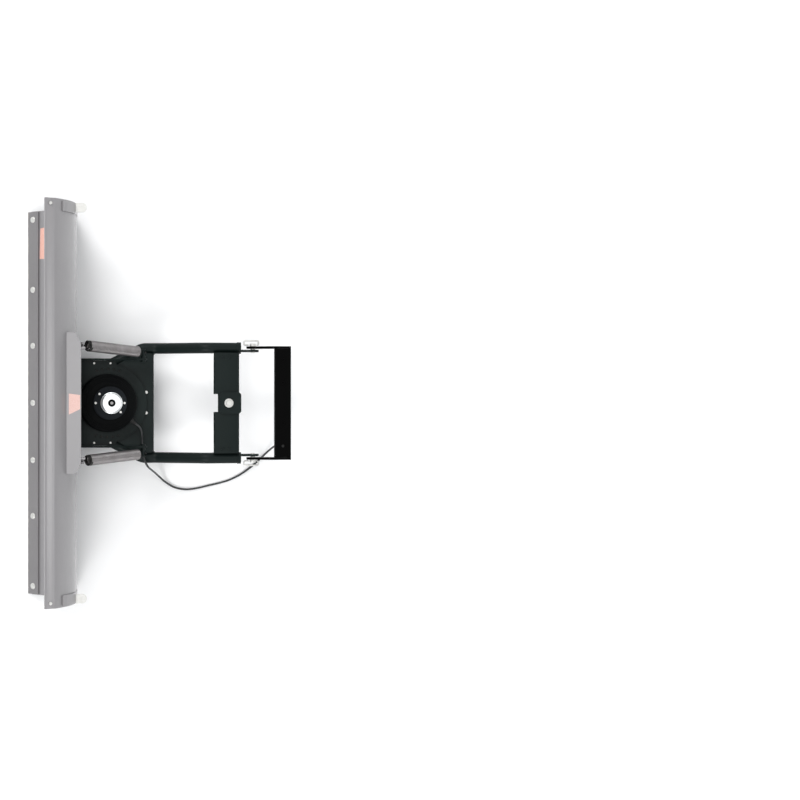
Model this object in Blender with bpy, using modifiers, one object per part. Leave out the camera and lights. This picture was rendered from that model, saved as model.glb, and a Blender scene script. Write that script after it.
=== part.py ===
"""ATV plow blade: blade with trip springs, powered swivel, push frame and vehicle mount kit.

Metres, +Z up. The blade is across X and the vehicle is towards +Y. Everything is laid out
with z = 0 on the ground, then lowered so that the origin is the middle of the mount kit's
top face, where the kit is bolted under the vehicle's frame.
"""

import math

import bmesh
import bpy
from mathutils import Matrix, Vector

GAP = 0.0003  # between pieces that touch

# Vehicle mount kit
MOUNT_HEIGHT = 0.280
MOUNT_DEPTH = 0.056
MOUNT_HALF = 0.1896
CHANNEL_SHEET = 0.005
CHANNEL_LEG = 0.030
ARM_THICK = 0.008
LIFT_AXIS = (-0.100, 0.225)  # y, z of the two hitch pins
PIN_RADIUS = 0.008
PIN_BORE = 0.0084

# Push frame
TUBE_RADIUS = 0.019
TUBE_X = 0.192
TUBE_LOW = 0.125
TUBE_HIGH = 0.222
TUBE_END = -0.152
BASE_THICK = 0.008
CROSS_SPAN = (-0.232, -0.1545)
CROSS_HALF = 0.207
CROSS_RISE = 0.006
CROSS_SHEET = 0.004
BRACKET_THICK = 0.006
LIFT_BOLT_Y = -0.186

# Swivel and its planetary drive
SWIVEL_Y = -0.600
HUB_RADIUS = 0.060
PLATE_THICK = 0.008
BEARING_THICK = 0.003
HOUSING_RADIUS = 0.101
HOUSING_WALL = 0.005
MODULE = 0.0025
PRESSURE = math.radians(20)
SUN_TEETH = 15
PLANET_TEETH = 15
RING_TEETH = 45
GEAR_WIDTH = 0.011
BACKLASH = 0.0005
INDEX_RADIUS = 0.119
GLAND_ANGLE = math.radians(37)
GLAND_LONG = 0.020

# Turntable side plates, trip hinge and springs
TURNTABLE_HALF = 0.1487
SIDE_X = 0.152
SIDE_THICK = 0.006
TRIP_AXIS = (-0.745, 0.085)
SPRING_FRONT = (0.195, -0.686, 0.345)
SPRING_REAR = (0.176, -0.479, 0.200)
SPRING_RADIUS = 0.0165
SPRING_WIRE = 0.0027
SPRING_TURNS = 17
HOOK_RADIUS = 0.0085

# Blade
BLADE_HALF = 0.678
BAR_HALF = 0.676
BAR_TALL = 0.050
BAR_THICK = 0.006
EDGE = (-0.876, 0.0045)  # front lower corner of the wear bar
SLOPE = math.radians(45)
SHEET = 0.003
SHEET_START = 0.012
STRAIGHT = 0.130
CURVE = 0.245
CURVE_TOP = math.radians(44)
BOLT_X = (-0.648, -0.400, -0.202, 0.0, 0.202, 0.400, 0.648)
BOLT_RADIUS = 0.005
RIB_X = 0.1616
RIB_THICK = 0.006
END_X = 0.655
END_WIDTH = 0.034
SHOE_WIDTH = 0.042

# Heights that follow from the stack on the tubes
BASE_LOW = TUBE_LOW + TUBE_RADIUS + GAP
BEARING_LOW = BASE_LOW + BASE_THICK + GAP
TURNTABLE_LOW = BEARING_LOW + BEARING_THICK + GAP
TURNTABLE_TOP = TURNTABLE_LOW + PLATE_THICK
GEAR_LOW = TURNTABLE_TOP + GAP
HOUSING_LOW = TURNTABLE_TOP + 0.003
HOUSING_TOP = 0.205
HUB_TOP = TURNTABLE_TOP - 0.0005
FLANGE_TOP = HOUSING_TOP + 0.012
PLANET_ORBIT = MODULE * (SUN_TEETH + PLANET_TEETH) / 2
CROSS_LOW = TUBE_HIGH + TUBE_RADIUS + GAP
BRACKET_LOW = CROSS_LOW + CROSS_RISE + CROSS_SHEET + 0.0005
GLAND_PLACE = (
    (HOUSING_RADIUS + GAP) * math.sin(GLAND_ANGLE),
    SWIVEL_Y + (HOUSING_RADIUS + GAP) * math.cos(GLAND_ANGLE),
    0.1795,
)

for item in list(bpy.data.objects):
    bpy.data.objects.remove(item, do_unlink=True)

parts = bpy.data.collections.new("atv_plow_blade")
cutters = bpy.data.collections.new("cutters")
bpy.context.scene.collection.children.link(parts)
bpy.context.scene.collection.children.link(cutters)


def finish(name, colour, roughness, metallic):
    """A Principled material."""
    made = bpy.data.materials.new(name)
    made.use_nodes = True
    shader = made.node_tree.nodes["Principled BSDF"]
    shader.inputs["Base Color"].default_value = (*colour, 1)
    shader.inputs["Roughness"].default_value = roughness
    shader.inputs["Metallic"].default_value = metallic
    return made


BLADE_PAINT = finish("blade_grey_paint", (0.30, 0.29, 0.30), 0.45, 0.0)
FRAME_PAINT = finish("black_powder_coat", (0.012, 0.016, 0.016), 0.35, 0.0)
KIT_PAINT = finish("mount_black_paint", (0.006, 0.006, 0.006), 0.5, 0.0)
ZINC = finish("zinc_plate", (0.55, 0.55, 0.54), 0.35, 1.0)
SPRING_STEEL = finish("spring_steel", (0.35, 0.34, 0.33), 0.4, 1.0)
GEAR_STEEL = finish("gear_steel", (0.30, 0.30, 0.31), 0.35, 1.0)
CAP_METAL = finish("machined_aluminium", (0.75, 0.76, 0.76), 0.25, 1.0)
POLYMER = finish("bearing_polymer", (0.60, 0.58, 0.50), 0.5, 0.0)
HOUSING_CAST = finish("black_cast_housing", (0.015, 0.015, 0.016), 0.45, 0.0)
RUBBER = finish("black_rubber", (0.02, 0.02, 0.02), 0.6, 0.0)


def axis_empty(name, place, parent=None):
    """An empty on a joint's axis, which carries the pieces that move there."""
    empty = bpy.data.objects.new(name, None)
    parts.objects.link(empty)
    empty.location = place
    bpy.context.view_layer.update()
    if parent:
        hold(empty, parent)
    return empty


def hold(obj, parent):
    """Parents an object where it is."""
    bpy.context.view_layer.update()
    obj.parent = parent
    obj.matrix_parent_inverse = parent.matrix_world.inverted()


def piece(obj, carrier, material, smooth=None):
    """Names a finished object's carrier and material; smooth is the sharp-edge angle."""
    obj.data.materials.clear()
    obj.data.materials.append(material)
    if smooth and obj.type == "MESH":
        obj.data.shade_smooth()
        obj.data.set_sharp_from_angle(angle=math.radians(smooth))
    hold(obj, carrier)
    return obj


def linked(name, data, collection=None):
    obj = bpy.data.objects.new(name, data)
    (collection or parts).objects.link(obj)
    return obj


def as_cutter(obj):
    """Moves an object to the cutters, out of the model."""
    parts.objects.unlink(obj)
    cutters.objects.link(obj)
    obj.hide_render = True
    obj.display_type = "WIRE"
    hold(obj, ground)
    return obj


def combine(obj, other, operation):
    """Adds a Boolean of another object, which becomes a cutter."""
    if other.name not in cutters.objects:
        as_cutter(other)
    boolean = obj.modifiers.new(operation.lower(), "BOOLEAN")
    boolean.operation = operation
    boolean.solver = "EXACT"
    boolean.object = other
    return obj


def as_mesh(curve):
    """The curve as a welded mesh object of the same name, so that it can be cut."""
    bpy.context.view_layer.update()
    graph = bpy.context.evaluated_depsgraph_get()
    mesh = bpy.data.meshes.new_from_object(curve.evaluated_get(graph))
    shape = bmesh.new()
    shape.from_mesh(mesh)
    bmesh.ops.remove_doubles(shape, verts=shape.verts, dist=1e-6)
    shape.to_mesh(mesh)
    shape.free()
    name, place = curve.name, curve.matrix_world.copy()
    bpy.data.objects.remove(curve, do_unlink=True)
    obj = linked(name, mesh)
    obj.matrix_world = place
    return obj


# Places for flat plates: lying at a height, or standing across X
def lying(z):
    return Matrix.Translation((0, 0, z))


def standing(x):
    turn = Matrix(((0, 0, 1, 0), (1, 0, 0, 0), (0, 1, 0, 0), (0, 0, 0, 1)))
    return Matrix.Translation((x, 0, 0)) @ turn


def arc(centre, radius, start, stop, count):
    """Points on an arc, angles in degrees."""
    angles = [math.radians(start + (stop - start) * i / (count - 1)) for i in range(count)]
    return [(centre[0] + radius * math.cos(a), centre[1] + radius * math.sin(a)) for a in angles]


def ring(centre, radius, count=16):
    return arc(centre, radius, 0, 360, count + 1)[:-1]


def plate(name, outlines, thickness, place):
    """A flat plate from an outline and its holes, centred on the place's plane."""
    curve = bpy.data.curves.new(name, "CURVE")
    curve.dimensions = "2D"
    curve.fill_mode = "BOTH"
    curve.extrude = thickness / 2
    for outline in outlines:
        spline = curve.splines.new("POLY")
        spline.points.add(len(outline) - 1)
        for point, (u, v) in zip(spline.points, outline):
            point.co = (u, v, 0, 1)
        spline.use_cyclic_u = True
    obj = linked(name, curve)
    obj.matrix_world = place
    return obj


def bent_sheet(name, profile, x_low, x_high, thickness, offset=1):
    """A sheet bent to a y-z profile and running along X."""
    shape = bmesh.new()
    start = [shape.verts.new((x_low, y, z)) for y, z in profile]
    edges = [shape.edges.new(pair) for pair in zip(start, start[1:])]
    grown = bmesh.ops.extrude_edge_only(shape, edges=edges)["geom"]
    moved = [v for v in grown if isinstance(v, bmesh.types.BMVert)]
    bmesh.ops.translate(shape, verts=moved, vec=(x_high - x_low, 0, 0))
    bmesh.ops.recalc_face_normals(shape, faces=shape.faces)
    mesh = bpy.data.meshes.new(name)
    shape.to_mesh(mesh)
    shape.free()
    obj = linked(name, mesh)
    solidify = obj.modifiers.new("thickness", "SOLIDIFY")
    solidify.thickness = thickness
    solidify.offset = offset
    solidify.use_even_offset = True
    return obj


def box(name, low, high, bevel=0.0):
    """A block between two corners."""
    shape = bmesh.new()
    bmesh.ops.create_cube(shape, size=1)
    size = [b - a for a, b in zip(low, high)]
    bmesh.ops.scale(shape, verts=shape.verts, vec=size)
    mesh = bpy.data.meshes.new(name)
    shape.to_mesh(mesh)
    shape.free()
    obj = linked(name, mesh)
    obj.location = [(a + b) / 2 for a, b in zip(low, high)]
    if bevel:
        rounding = obj.modifiers.new("edges", "BEVEL")
        rounding.width = bevel
        rounding.segments = 1
    return obj


def rod(name, radius, start, end, sides=20):
    """A round bar between two points."""
    start, end = Vector(start), Vector(end)
    shape = bmesh.new()
    bmesh.ops.create_cone(
        shape, cap_ends=True, segments=sides, radius1=radius, radius2=radius,
        depth=(end - start).length,
    )
    mesh = bpy.data.meshes.new(name)
    shape.to_mesh(mesh)
    shape.free()
    obj = linked(name, mesh)
    turn = Vector((0, 0, 1)).rotation_difference(end - start)
    obj.matrix_world = Matrix.Translation((start + end) / 2) @ turn.to_matrix().to_4x4()
    return obj


def turned(name, profile, place, steps=32, axis="Z"):
    """A turned shape: radius and height points from the axis, top to bottom, to the axis."""
    mesh = bpy.data.meshes.new(name)
    points = [(radius, 0, height) for radius, height in profile]
    mesh.from_pydata(points, [(i, i + 1) for i in range(len(points) - 1)], [])
    obj = linked(name, mesh)
    obj.location = place
    if axis == "X":
        obj.rotation_euler = (0, math.radians(90), 0)
    if axis == "-X":
        obj.rotation_euler = (0, math.radians(-90), 0)
    screw = obj.modifiers.new("turn", "SCREW")
    screw.steps = screw.render_steps = steps
    screw.use_merge_vertices = True
    screw.merge_threshold = 0.00001
    return obj


def tube(name, points, radius, resolution=2):
    """A round bar or cable along points."""
    curve = bpy.data.curves.new(name, "CURVE")
    curve.dimensions = "3D"
    curve.bevel_depth = radius
    curve.bevel_resolution = resolution
    curve.use_fill_caps = True
    spline = curve.splines.new("POLY")
    spline.points.add(len(points) - 1)
    for point, place in zip(spline.points, points):
        point.co = (*place, 1)
    return linked(name, curve)


def smooth_through(points, each):
    """Points on a smooth curve that passes through all the given ones."""
    points = [Vector(p) for p in points]
    ends = [2 * points[0] - points[1], *points, 2 * points[-1] - points[-2]]
    made = []
    for a, b, c, d in zip(ends, ends[1:], ends[2:], ends[3:]):
        for i in range(each):
            t = i / each
            made.append(
                0.5 * (2 * b + (c - a) * t + (2 * a - 5 * b + 4 * c - d) * t**2
                       + (3 * b - a - 3 * c + d) * t**3)
            )
    return [*made, points[-1]]


def rounded_corners(points, radius, count=6):
    """A path whose corners are arcs."""
    points = [Vector(p) for p in points]
    made = [points[0]]
    for before, corner, after in zip(points, points[1:], points[2:]):
        back, on = (before - corner).normalized(), (after - corner).normalized()
        half = back.angle(on) / 2
        reach = radius / math.tan(half)
        middle = corner + (back + on).normalized() * radius / math.sin(half)
        first, last = corner + back * reach - middle, corner + on * reach - middle
        axis, angle = first.rotation_difference(last).to_axis_angle()
        for i in range(count + 1):
            made.append(middle + Matrix.Rotation(angle * i / count, 3, axis) @ first)
    made.append(points[-1])
    return made


def gear_outline(teeth, tip, root, backlash):
    """An involute gear's outline, with one tooth's middle at angle zero."""
    pitch = MODULE * teeth / 2
    base = pitch * math.cos(PRESSURE)

    def involute(radius):
        angle = math.acos(min(1, base / radius))
        return math.tan(angle) - angle

    half_at_pitch = math.pi / (2 * teeth) - backlash / (2 * pitch)
    radii = [root, max(root + 0.0005, base), tip]
    outline = []
    for tooth in range(teeth):
        middle = 2 * math.pi * tooth / teeth
        halves = [half_at_pitch + involute(pitch) - involute(r) for r in radii]
        flank = list(zip(radii, halves))
        for r, half in flank:
            outline.append((r * math.cos(middle - half), r * math.sin(middle - half)))
        for r, half in reversed(flank):
            outline.append((r * math.cos(middle + half), r * math.sin(middle + half)))
    return outline


def back_contour(z_low, z_high, count, clearance=0.0011):
    """Points up the back of the moldboard, far enough off it for both outlines' facets."""
    reach = CURVE + SHEET + clearance
    made = []
    for i in range(count):
        z = z_low + (z_high - z_low) * i / (count - 1)
        straight = STRAIGHT_END[0] + (SHEET + clearance) / math.sin(SLOPE)
        y = straight + (z - STRAIGHT_END[1]) / math.tan(SLOPE)
        rise = z - CURVE_CENTRE[1]
        if rise > -reach * math.cos(SLOPE):
            y = CURVE_CENTRE[0] + math.sqrt(reach**2 - rise**2)
        made.append((y, z))
    return made


def sides(make):
    """Makes a left (+X) and a right (-X) piece."""
    for side, sign in (("left", 1), ("right", -1)):
        make(side, sign)


# The moldboard's front face: up the slope behind the wear bar, then round the curve
FACE_START = (EDGE[0] + BAR_THICK * math.sin(SLOPE) + GAP, EDGE[1] - BAR_THICK * math.cos(SLOPE))
STRAIGHT_END = (
    FACE_START[0] + STRAIGHT * math.cos(SLOPE), FACE_START[1] + STRAIGHT * math.sin(SLOPE),
)
CURVE_CENTRE = (
    STRAIGHT_END[0] - CURVE * math.sin(SLOPE), STRAIGHT_END[1] + CURVE * math.cos(SLOPE),
)

ground = axis_empty("ground", (0, 0, 0))
mount_kit = axis_empty("mount_kit_body", (0, 0, MOUNT_HEIGHT), ground)
push_frame = axis_empty("lift_axis", (0, *LIFT_AXIS), mount_kit)
turntable = axis_empty("swivel_axis", (0, SWIVEL_Y, TURNTABLE_LOW), push_frame)
blade = axis_empty("trip_axis", (0, *TRIP_AXIS), turntable)


# ---- Blade -------------------------------------------------------------------------------

def along_bar(up, out=0.0):
    """A point on the wear bar's front face: up the slope, and out from the face."""
    y = EDGE[0] + up * math.cos(SLOPE) - out * math.sin(SLOPE)
    return y, EDGE[1] + up * math.sin(SLOPE) + out * math.cos(SLOPE)


def moldboard():
    lip_start = arc(CURVE_CENTRE, CURVE, -45, math.degrees(CURVE_TOP), 15)
    lip = (lip_start[-1][0] - 0.028, lip_start[-1][1] + 0.011)
    hem = (lip[0] - 0.002, lip[1] - 0.010)
    start = (
        FACE_START[0] + SHEET_START * math.cos(SLOPE),
        FACE_START[1] + SHEET_START * math.sin(SLOPE),
    )
    board = bent_sheet(
        "moldboard", [start, *lip_start, lip, hem], -BLADE_HALF, BLADE_HALF, SHEET, 1,
    )
    for x in BOLT_X:
        combine(board, bolt_hole(x), "DIFFERENCE")
    piece(board, blade, BLADE_PAINT, 30)


def bolt_hole(x):
    middle = BAR_TALL / 2
    return rod(
        "bolt_hole", BOLT_RADIUS + GAP, (x, *along_bar(middle, 0.02)),
        (x, *along_bar(middle, -0.03)), 12,
    )


def wear_bar():
    middle = along_bar(BAR_TALL / 2, -BAR_THICK / 2)
    bar = box(
        "wear_bar", (-BAR_HALF, -BAR_TALL / 2, -BAR_THICK / 2),
        (BAR_HALF, BAR_TALL / 2, BAR_THICK / 2), 0.0008,
    )
    bar.location = (0, *middle)
    bar.rotation_euler = (SLOPE, 0, 0)
    for x in BOLT_X:
        combine(bar, bolt_hole(x), "DIFFERENCE")
    piece(bar, blade, BLADE_PAINT)


def wear_bolts():
    """Carriage bolts: domed head in front, nut behind the moldboard."""
    grip = BAR_THICK + SHEET + 3 * GAP
    profile = [
        (0, 0.0055), (0.005, 0.0050), (0.0085, 0.0032), (0.0105, GAP), (BOLT_RADIUS, GAP),
        (BOLT_RADIUS, -grip), (0.009, -grip), (0.009, -grip - 0.008), (BOLT_RADIUS, -grip - 0.008),
        (BOLT_RADIUS, -grip - 0.012), (0, -grip - 0.012),
    ]
    for number, x in enumerate(BOLT_X, 1):
        bolt = turned(f"wear_bolt_{number}", profile, (x, *along_bar(BAR_TALL / 2)), 10)
        bolt.rotation_euler = (SLOPE, 0, 0)
        piece(bolt, blade, ZINC, 40)


def pivot_rib(side, sign):
    """Rib on the moldboard's back, with the trip pin's bore."""
    outline = [
        *back_contour(0.036, 0.3842, 12),
        (-0.700, 0.3842), (-0.692, 0.300), (-0.690, 0.230), (-0.712, 0.130),
        *arc(TRIP_AXIS, 0.024, 10, -95, 7), (-0.800, 0.0355),
    ]
    rib = plate(
        f"pivot_rib_{side}", [outline, ring(TRIP_AXIS, PIN_BORE)], RIB_THICK,
        standing(sign * RIB_X),
    )
    piece(rib, blade, BLADE_PAINT)


def spring_bracket():
    """Shelf behind the moldboard that takes the springs' pull."""
    low = 0.385
    outline = [
        (-0.2365, -0.775), (0.2365, -0.775), (0.2365, -0.710), (0.228, -0.7035),
        (0.198, -0.690), (-0.198, -0.690), (-0.228, -0.7035), (-0.2365, -0.710),
    ]
    shelf = as_mesh(plate("spring_bracket", [outline], 0.006, lying(low + 0.003)))
    flange = box("bracket_flange", (-0.150, -0.6955, 0.352), (0.150, -0.6900, low + 0.002))
    combine(shelf, flange, "UNION")
    curve = rod(
        "moldboard_back", CURVE + SHEET + GAP, (-0.3, *CURVE_CENTRE), (0.3, *CURVE_CENTRE), 96,
    )
    combine(shelf, curve, "DIFFERENCE")
    piece(shelf, blade, BLADE_PAINT)


def front_anchor(side, sign):
    """Tab and stud that the spring's front hook goes round."""
    x, y, z = SPRING_FRONT
    outline = [
        (y - 0.020, 0.3847), (y + 0.010, 0.3847), *arc((y, z), 0.010, 0, -180, 9),
    ]
    tab = as_mesh(plate(f"spring_tab_{side}", [outline], 0.006, standing(sign * (x - 0.010))))
    stud = rod("front_stud", 0.005, (sign * (x - 0.011), y, z), (sign * (x + 0.010), y, z), 12)
    combine(tab, stud, "UNION")
    piece(tab, blade, BLADE_PAINT)


def trip_pin(side, sign):
    """Clevis pin through the rib and the turntable's side plate."""
    inner = SIDE_X - SIDE_THICK / 2 - 0.004
    outer = RIB_X + RIB_THICK / 2 + GAP
    profile = [
        (0, outer + 0.005), (0.012, outer + 0.005), (0.013, outer + 0.004), (0.013, outer),
        (PIN_RADIUS, outer), (PIN_RADIUS, inner), (0.006, inner - 0.002), (0, inner - 0.002),
    ]
    pin = turned(
        f"trip_pin_{side}", profile, (0, *TRIP_AXIS), 20, "X" if sign > 0 else "-X",
    )
    piece(pin, blade, ZINC, 40)


def end_strap(side, sign):
    """Strap down the back of the blade's end, to the skid shoe."""
    profile = [
        (-0.7500, 0.4135), (-0.7350, 0.3920), (-0.7120, 0.3560), (-0.6980, 0.3100),
        (-0.6930, 0.2600), (-0.6930, 0.0120),
    ]
    x = sign * END_X
    strap = bent_sheet(
        f"end_strap_{side}", profile, x - END_WIDTH / 2, x + END_WIDTH / 2, 0.005, 0,
    )
    piece(strap, blade, BLADE_PAINT, 30)


def end_rib(side, sign):
    """Rib between the moldboard's end and the strap."""
    outline = [
        *back_contour(0.060, 0.255, 8), (-0.6960, 0.255), (-0.6960, 0.0125), (-0.785, 0.0125),
    ]
    rib = plate(f"end_rib_{side}", [outline], 0.006, standing(sign * END_X))
    piece(rib, blade, BLADE_PAINT)


def skid_shoe(side, sign):
    """Runner with turned-up ends, under the rib and the strap."""
    profile = [
        (-0.812, 0.036), (-0.802, 0.014), (-0.790, 0.0045), (-0.775, 0.0025),
        (-0.705, 0.0025), (-0.690, 0.0045), (-0.6765, 0.0130),
    ]
    x = sign * END_X
    runner = bent_sheet(
        f"skid_shoe_{side}", profile, x - SHOE_WIDTH / 2, x + SHOE_WIDTH / 2, 0.005, 0,
    )
    piece(runner, blade, ZINC, 30)


moldboard()
wear_bar()
wear_bolts()
spring_bracket()
for make in (pivot_rib, front_anchor, trip_pin, end_strap, end_rib, skid_shoe):
    sides(make)


# ---- Turntable ---------------------------------------------------------------------------

def turntable_plate():
    front, back = -0.691, -0.575
    outline = [
        (-TURNTABLE_HALF, front), (TURNTABLE_HALF, front), (TURNTABLE_HALF, back),
        *arc((0, SWIVEL_Y), 0.136, 14, 166, 21), (-TURNTABLE_HALF, back),
    ]
    holes = [ring((0, SWIVEL_Y), HUB_RADIUS + GAP, 40)]
    for start in (-20, 160):
        for step in range(5):
            angle = math.radians(start + 9.5 * step)
            centre = (INDEX_RADIUS * math.cos(angle), SWIVEL_Y + INDEX_RADIUS * math.sin(angle))
            holes.append(ring(centre, 0.0045, 8))
    made = plate(
        "turntable_plate", [outline, *holes], PLATE_THICK, lying(TURNTABLE_LOW + PLATE_THICK / 2),
    )
    piece(made, turntable, FRAME_PAINT)


def side_plate(side, sign):
    """Side plate of the turntable: trip hinge in front, raised spring arm behind."""
    rear = SPRING_REAR[1:]
    outline = [
        *arc(TRIP_AXIS, 0.022, 110, 300, 12), (-0.690, 0.120), (-0.650, 0.1575),
        (-0.575, 0.1575), (-0.548, 0.184), *arc(rear, 0.014, -90, 90, 8),
        (-0.530, 0.206), (-0.570, 0.186), (-0.690, 0.176),
    ]
    made = plate(
        f"side_plate_{side}",
        [outline, ring(TRIP_AXIS, PIN_BORE), ring(rear, 0.0053, 12)],
        SIDE_THICK, standing(sign * SIDE_X),
    )
    piece(made, turntable, FRAME_PAINT)


def rear_stud(side, sign):
    """Bolt through the spring arm, which the spring's rear hook goes round."""
    inner, outer = SIDE_X - SIDE_THICK / 2 - GAP, SIDE_X + SIDE_THICK / 2 + GAP
    tip = SPRING_REAR[0] + 0.008
    profile = [
        (0, tip + 0.003), (0.0075, tip + 0.003), (0.0085, tip), (0.005, tip),
        (0.005, outer + 0.008),
        (0.008, outer + 0.008), (0.008, outer), (0.005, outer), (0.005, inner), (0.009, inner),
        (0.009, inner - 0.006), (0, inner - 0.006),
    ]
    stud = turned(
        f"rear_stud_{side}", profile, (0, *SPRING_REAR[1:]), 12, "X" if sign > 0 else "-X",
    )
    piece(stud, turntable, ZINC, 40)


def trip_spring(side, sign):
    """Extension spring with a hook at each end, wound about the line between its hooks."""
    front = Vector((sign * SPRING_FRONT[0], *SPRING_FRONT[1:]))
    rear = Vector((sign * SPRING_REAR[0], *SPRING_REAR[1:]))
    along = (rear - front).normalized()
    across = Vector((1, 0, 0))
    up = along.cross(across).normalized()
    across = up.cross(along).normalized()
    span = (rear - front).length
    lead = HOOK_RADIUS + 0.008
    points = [front + HOOK_RADIUS * (along * math.cos(a) + up * math.sin(a))
              for a in [math.radians(250 - 160 * i / 6) for i in range(7)]]
    points.append(front + along * (HOOK_RADIUS + 0.002) + up * HOOK_RADIUS * 0.75)
    each = 5
    length = span - 2 * lead
    for i in range(SPRING_TURNS * each + 1):
        turns = i / each
        grow = min(1, turns / 0.75, (SPRING_TURNS - turns) / 0.75)
        radius = SPRING_RADIUS * (0.4 + 0.6 * grow)
        angle = 2 * math.pi * turns
        points.append(
            front + along * (lead + length * turns / SPRING_TURNS)
            + radius * (up * math.cos(angle) + across * math.sin(angle))
        )
    points.append(rear - along * (HOOK_RADIUS + 0.002) + up * HOOK_RADIUS * 0.75)
    points += [rear + HOOK_RADIUS * (along * math.cos(a) + up * math.sin(a))
               for a in [math.radians(90 - 160 * i / 6) for i in range(7)]]
    piece(tube(f"trip_spring_{side}", points, SPRING_WIRE, 1), turntable, SPRING_STEEL)


def ring_gear():
    pitch = MODULE * RING_TEETH / 2
    teeth = gear_outline(RING_TEETH, pitch + 1.15 * MODULE, pitch - 0.7 * MODULE, -BACKLASH)
    made = plate(
        "ring_gear", [ring((0, 0), 0.072, 48), teeth], GEAR_WIDTH,
        Matrix.Translation((0, SWIVEL_Y, GEAR_LOW + GEAR_WIDTH / 2)),
    )
    piece(made, turntable, GEAR_STEEL)


turntable_plate()
ring_gear()
for make in (side_plate, rear_stud, trip_spring):
    sides(make)


# ---- Push frame --------------------------------------------------------------------------

def side_tube(side, sign):
    """Push tube: under the base plate in front, raised to the hitch behind."""
    x = sign * TUBE_X
    corners = [
        (sign * 0.105, -0.650, TUBE_LOW), (sign * 0.150, -0.560, TUBE_LOW), (x, -0.478, TUBE_LOW),
        (x, -0.430, TUBE_LOW), (x, -0.265, TUBE_HIGH), (x, TUBE_END, TUBE_HIGH),
    ]
    points = rounded_corners(corners, 0.045, 4)
    piece(tube(f"side_tube_{side}", points, TUBE_RADIUS, 3), push_frame, FRAME_PAINT)


def front_cross_tube():
    reach = TUBE_X - TUBE_RADIUS - GAP
    made = rod("front_cross_tube", 0.016, (-reach, -0.455, TUBE_LOW), (reach, -0.455, TUBE_LOW))
    piece(made, push_frame, FRAME_PAINT, 40)


def base_plate():
    right = [(0.196, -0.512), (0.206, -0.490), (0.206, -0.446)]
    outline = [
        *arc((0, SWIVEL_Y), 0.130, -190, 10, 25), *right, *[(-x, y) for x, y in reversed(right)],
    ]
    made = plate("base_plate", [outline], BASE_THICK, lying(BASE_LOW + BASE_THICK / 2))
    piece(made, push_frame, FRAME_PAINT)


def bearing_disc():
    made = plate(
        "bearing_disc", [ring((0, SWIVEL_Y), 0.122, 40), ring((0, SWIVEL_Y), HUB_RADIUS + GAP, 40)],
        BEARING_THICK, lying(BEARING_LOW + BEARING_THICK / 2),
    )
    piece(made, push_frame, POLYMER)


def planet_places():
    for number in range(3):
        angle = 2 * math.pi * number / 3
        yield number + 1, PLANET_ORBIT * math.cos(angle), SWIVEL_Y + PLANET_ORBIT * math.sin(angle)


def pivot_hub():
    """Hub that the turntable turns on, with the planets' posts."""
    profile = [
        (0, HUB_TOP - 0.002), (0.012, HUB_TOP - 0.002), (0.014, HUB_TOP), (HUB_RADIUS, HUB_TOP),
        (HUB_RADIUS, BEARING_LOW), (0, BEARING_LOW),
    ]
    hub = turned("pivot_hub", profile, (0, SWIVEL_Y, 0), 40)
    for number, x, y in planet_places():
        top = HOUSING_TOP - HOUSING_WALL - GAP
        post = rod(f"planet_post_{number}", 0.005, (x, y, HUB_TOP - 0.004), (x, y, top), 16)
        combine(hub, post, "UNION")
    piece(hub, push_frame, GEAR_STEEL, 40)


def planet_gears():
    pitch = MODULE * PLANET_TEETH / 2
    outline = gear_outline(PLANET_TEETH, pitch + 0.8 * MODULE, pitch - 1.1 * MODULE, BACKLASH)
    for number, x, y in planet_places():
        centre = (x, y, GEAR_LOW + GEAR_WIDTH / 2 + GAP)
        carrier = axis_empty(f"planet_axis_{number}", centre, push_frame)
        made = plate(
            f"planet_gear_{number}", [outline, ring((0, 0), 0.0053, 16)],
            GEAR_WIDTH - 2 * GAP, Matrix.Translation(centre),
        )
        piece(made, carrier, GEAR_STEEL)


def sun_gear():
    """Pinion on the motor's output shaft."""
    pitch = MODULE * SUN_TEETH / 2
    outline = gear_outline(SUN_TEETH, pitch + 0.8 * MODULE, pitch - 1.1 * MODULE, BACKLASH)
    centre = (0, SWIVEL_Y, GEAR_LOW + GEAR_WIDTH / 2 + GAP)
    carrier = axis_empty("sun_axis", centre, push_frame)
    made = as_mesh(
        plate("sun_gear", [outline], GEAR_WIDTH - 2 * GAP, Matrix.Translation(centre))
    )
    shaft = rod(
        "sun_shaft", 0.006, (0, SWIVEL_Y, GEAR_LOW + 0.006), (0, SWIVEL_Y, HOUSING_TOP + 0.007), 16,
    )
    combine(made, shaft, "UNION")
    piece(made, carrier, GEAR_STEEL)


def drive_housing():
    """Round cover of the gears, open below."""
    inner = HOUSING_RADIUS - HOUSING_WALL
    under = HOUSING_TOP - HOUSING_WALL
    profile = [
        (0.0075, HOUSING_TOP), (0.088, HOUSING_TOP), (0.093, HOUSING_TOP - 0.001),
        (0.098, HOUSING_TOP - 0.004), (HOUSING_RADIUS, HOUSING_TOP - 0.009),
        (HOUSING_RADIUS, HOUSING_LOW), (inner, HOUSING_LOW), (inner, under - 0.003),
        (inner - 0.005, under), (0.0075, under), (0.0075, HOUSING_TOP),
    ]
    piece(turned("drive_housing", profile, (0, SWIVEL_Y, 0), 36), push_frame, HOUSING_CAST, 30)


def motor_flange():
    """Gearhead flange of the motor, a little behind the swivel's axis."""
    low = HOUSING_TOP + GAP
    flange = turned(
        "motor_flange",
        [(0, FLANGE_TOP), (0.052, FLANGE_TOP), (0.058, FLANGE_TOP - 0.004), (0.058, low), (0, low)],
        (0, SWIVEL_Y + 0.008, 0), 40,
    )
    bore = rod("shaft_bore", 0.0075, (0, SWIVEL_Y, low - 0.002), (0, SWIVEL_Y, low + 0.008), 16)
    combine(flange, bore, "DIFFERENCE")
    piece(flange, push_frame, HOUSING_CAST, 30)


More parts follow.
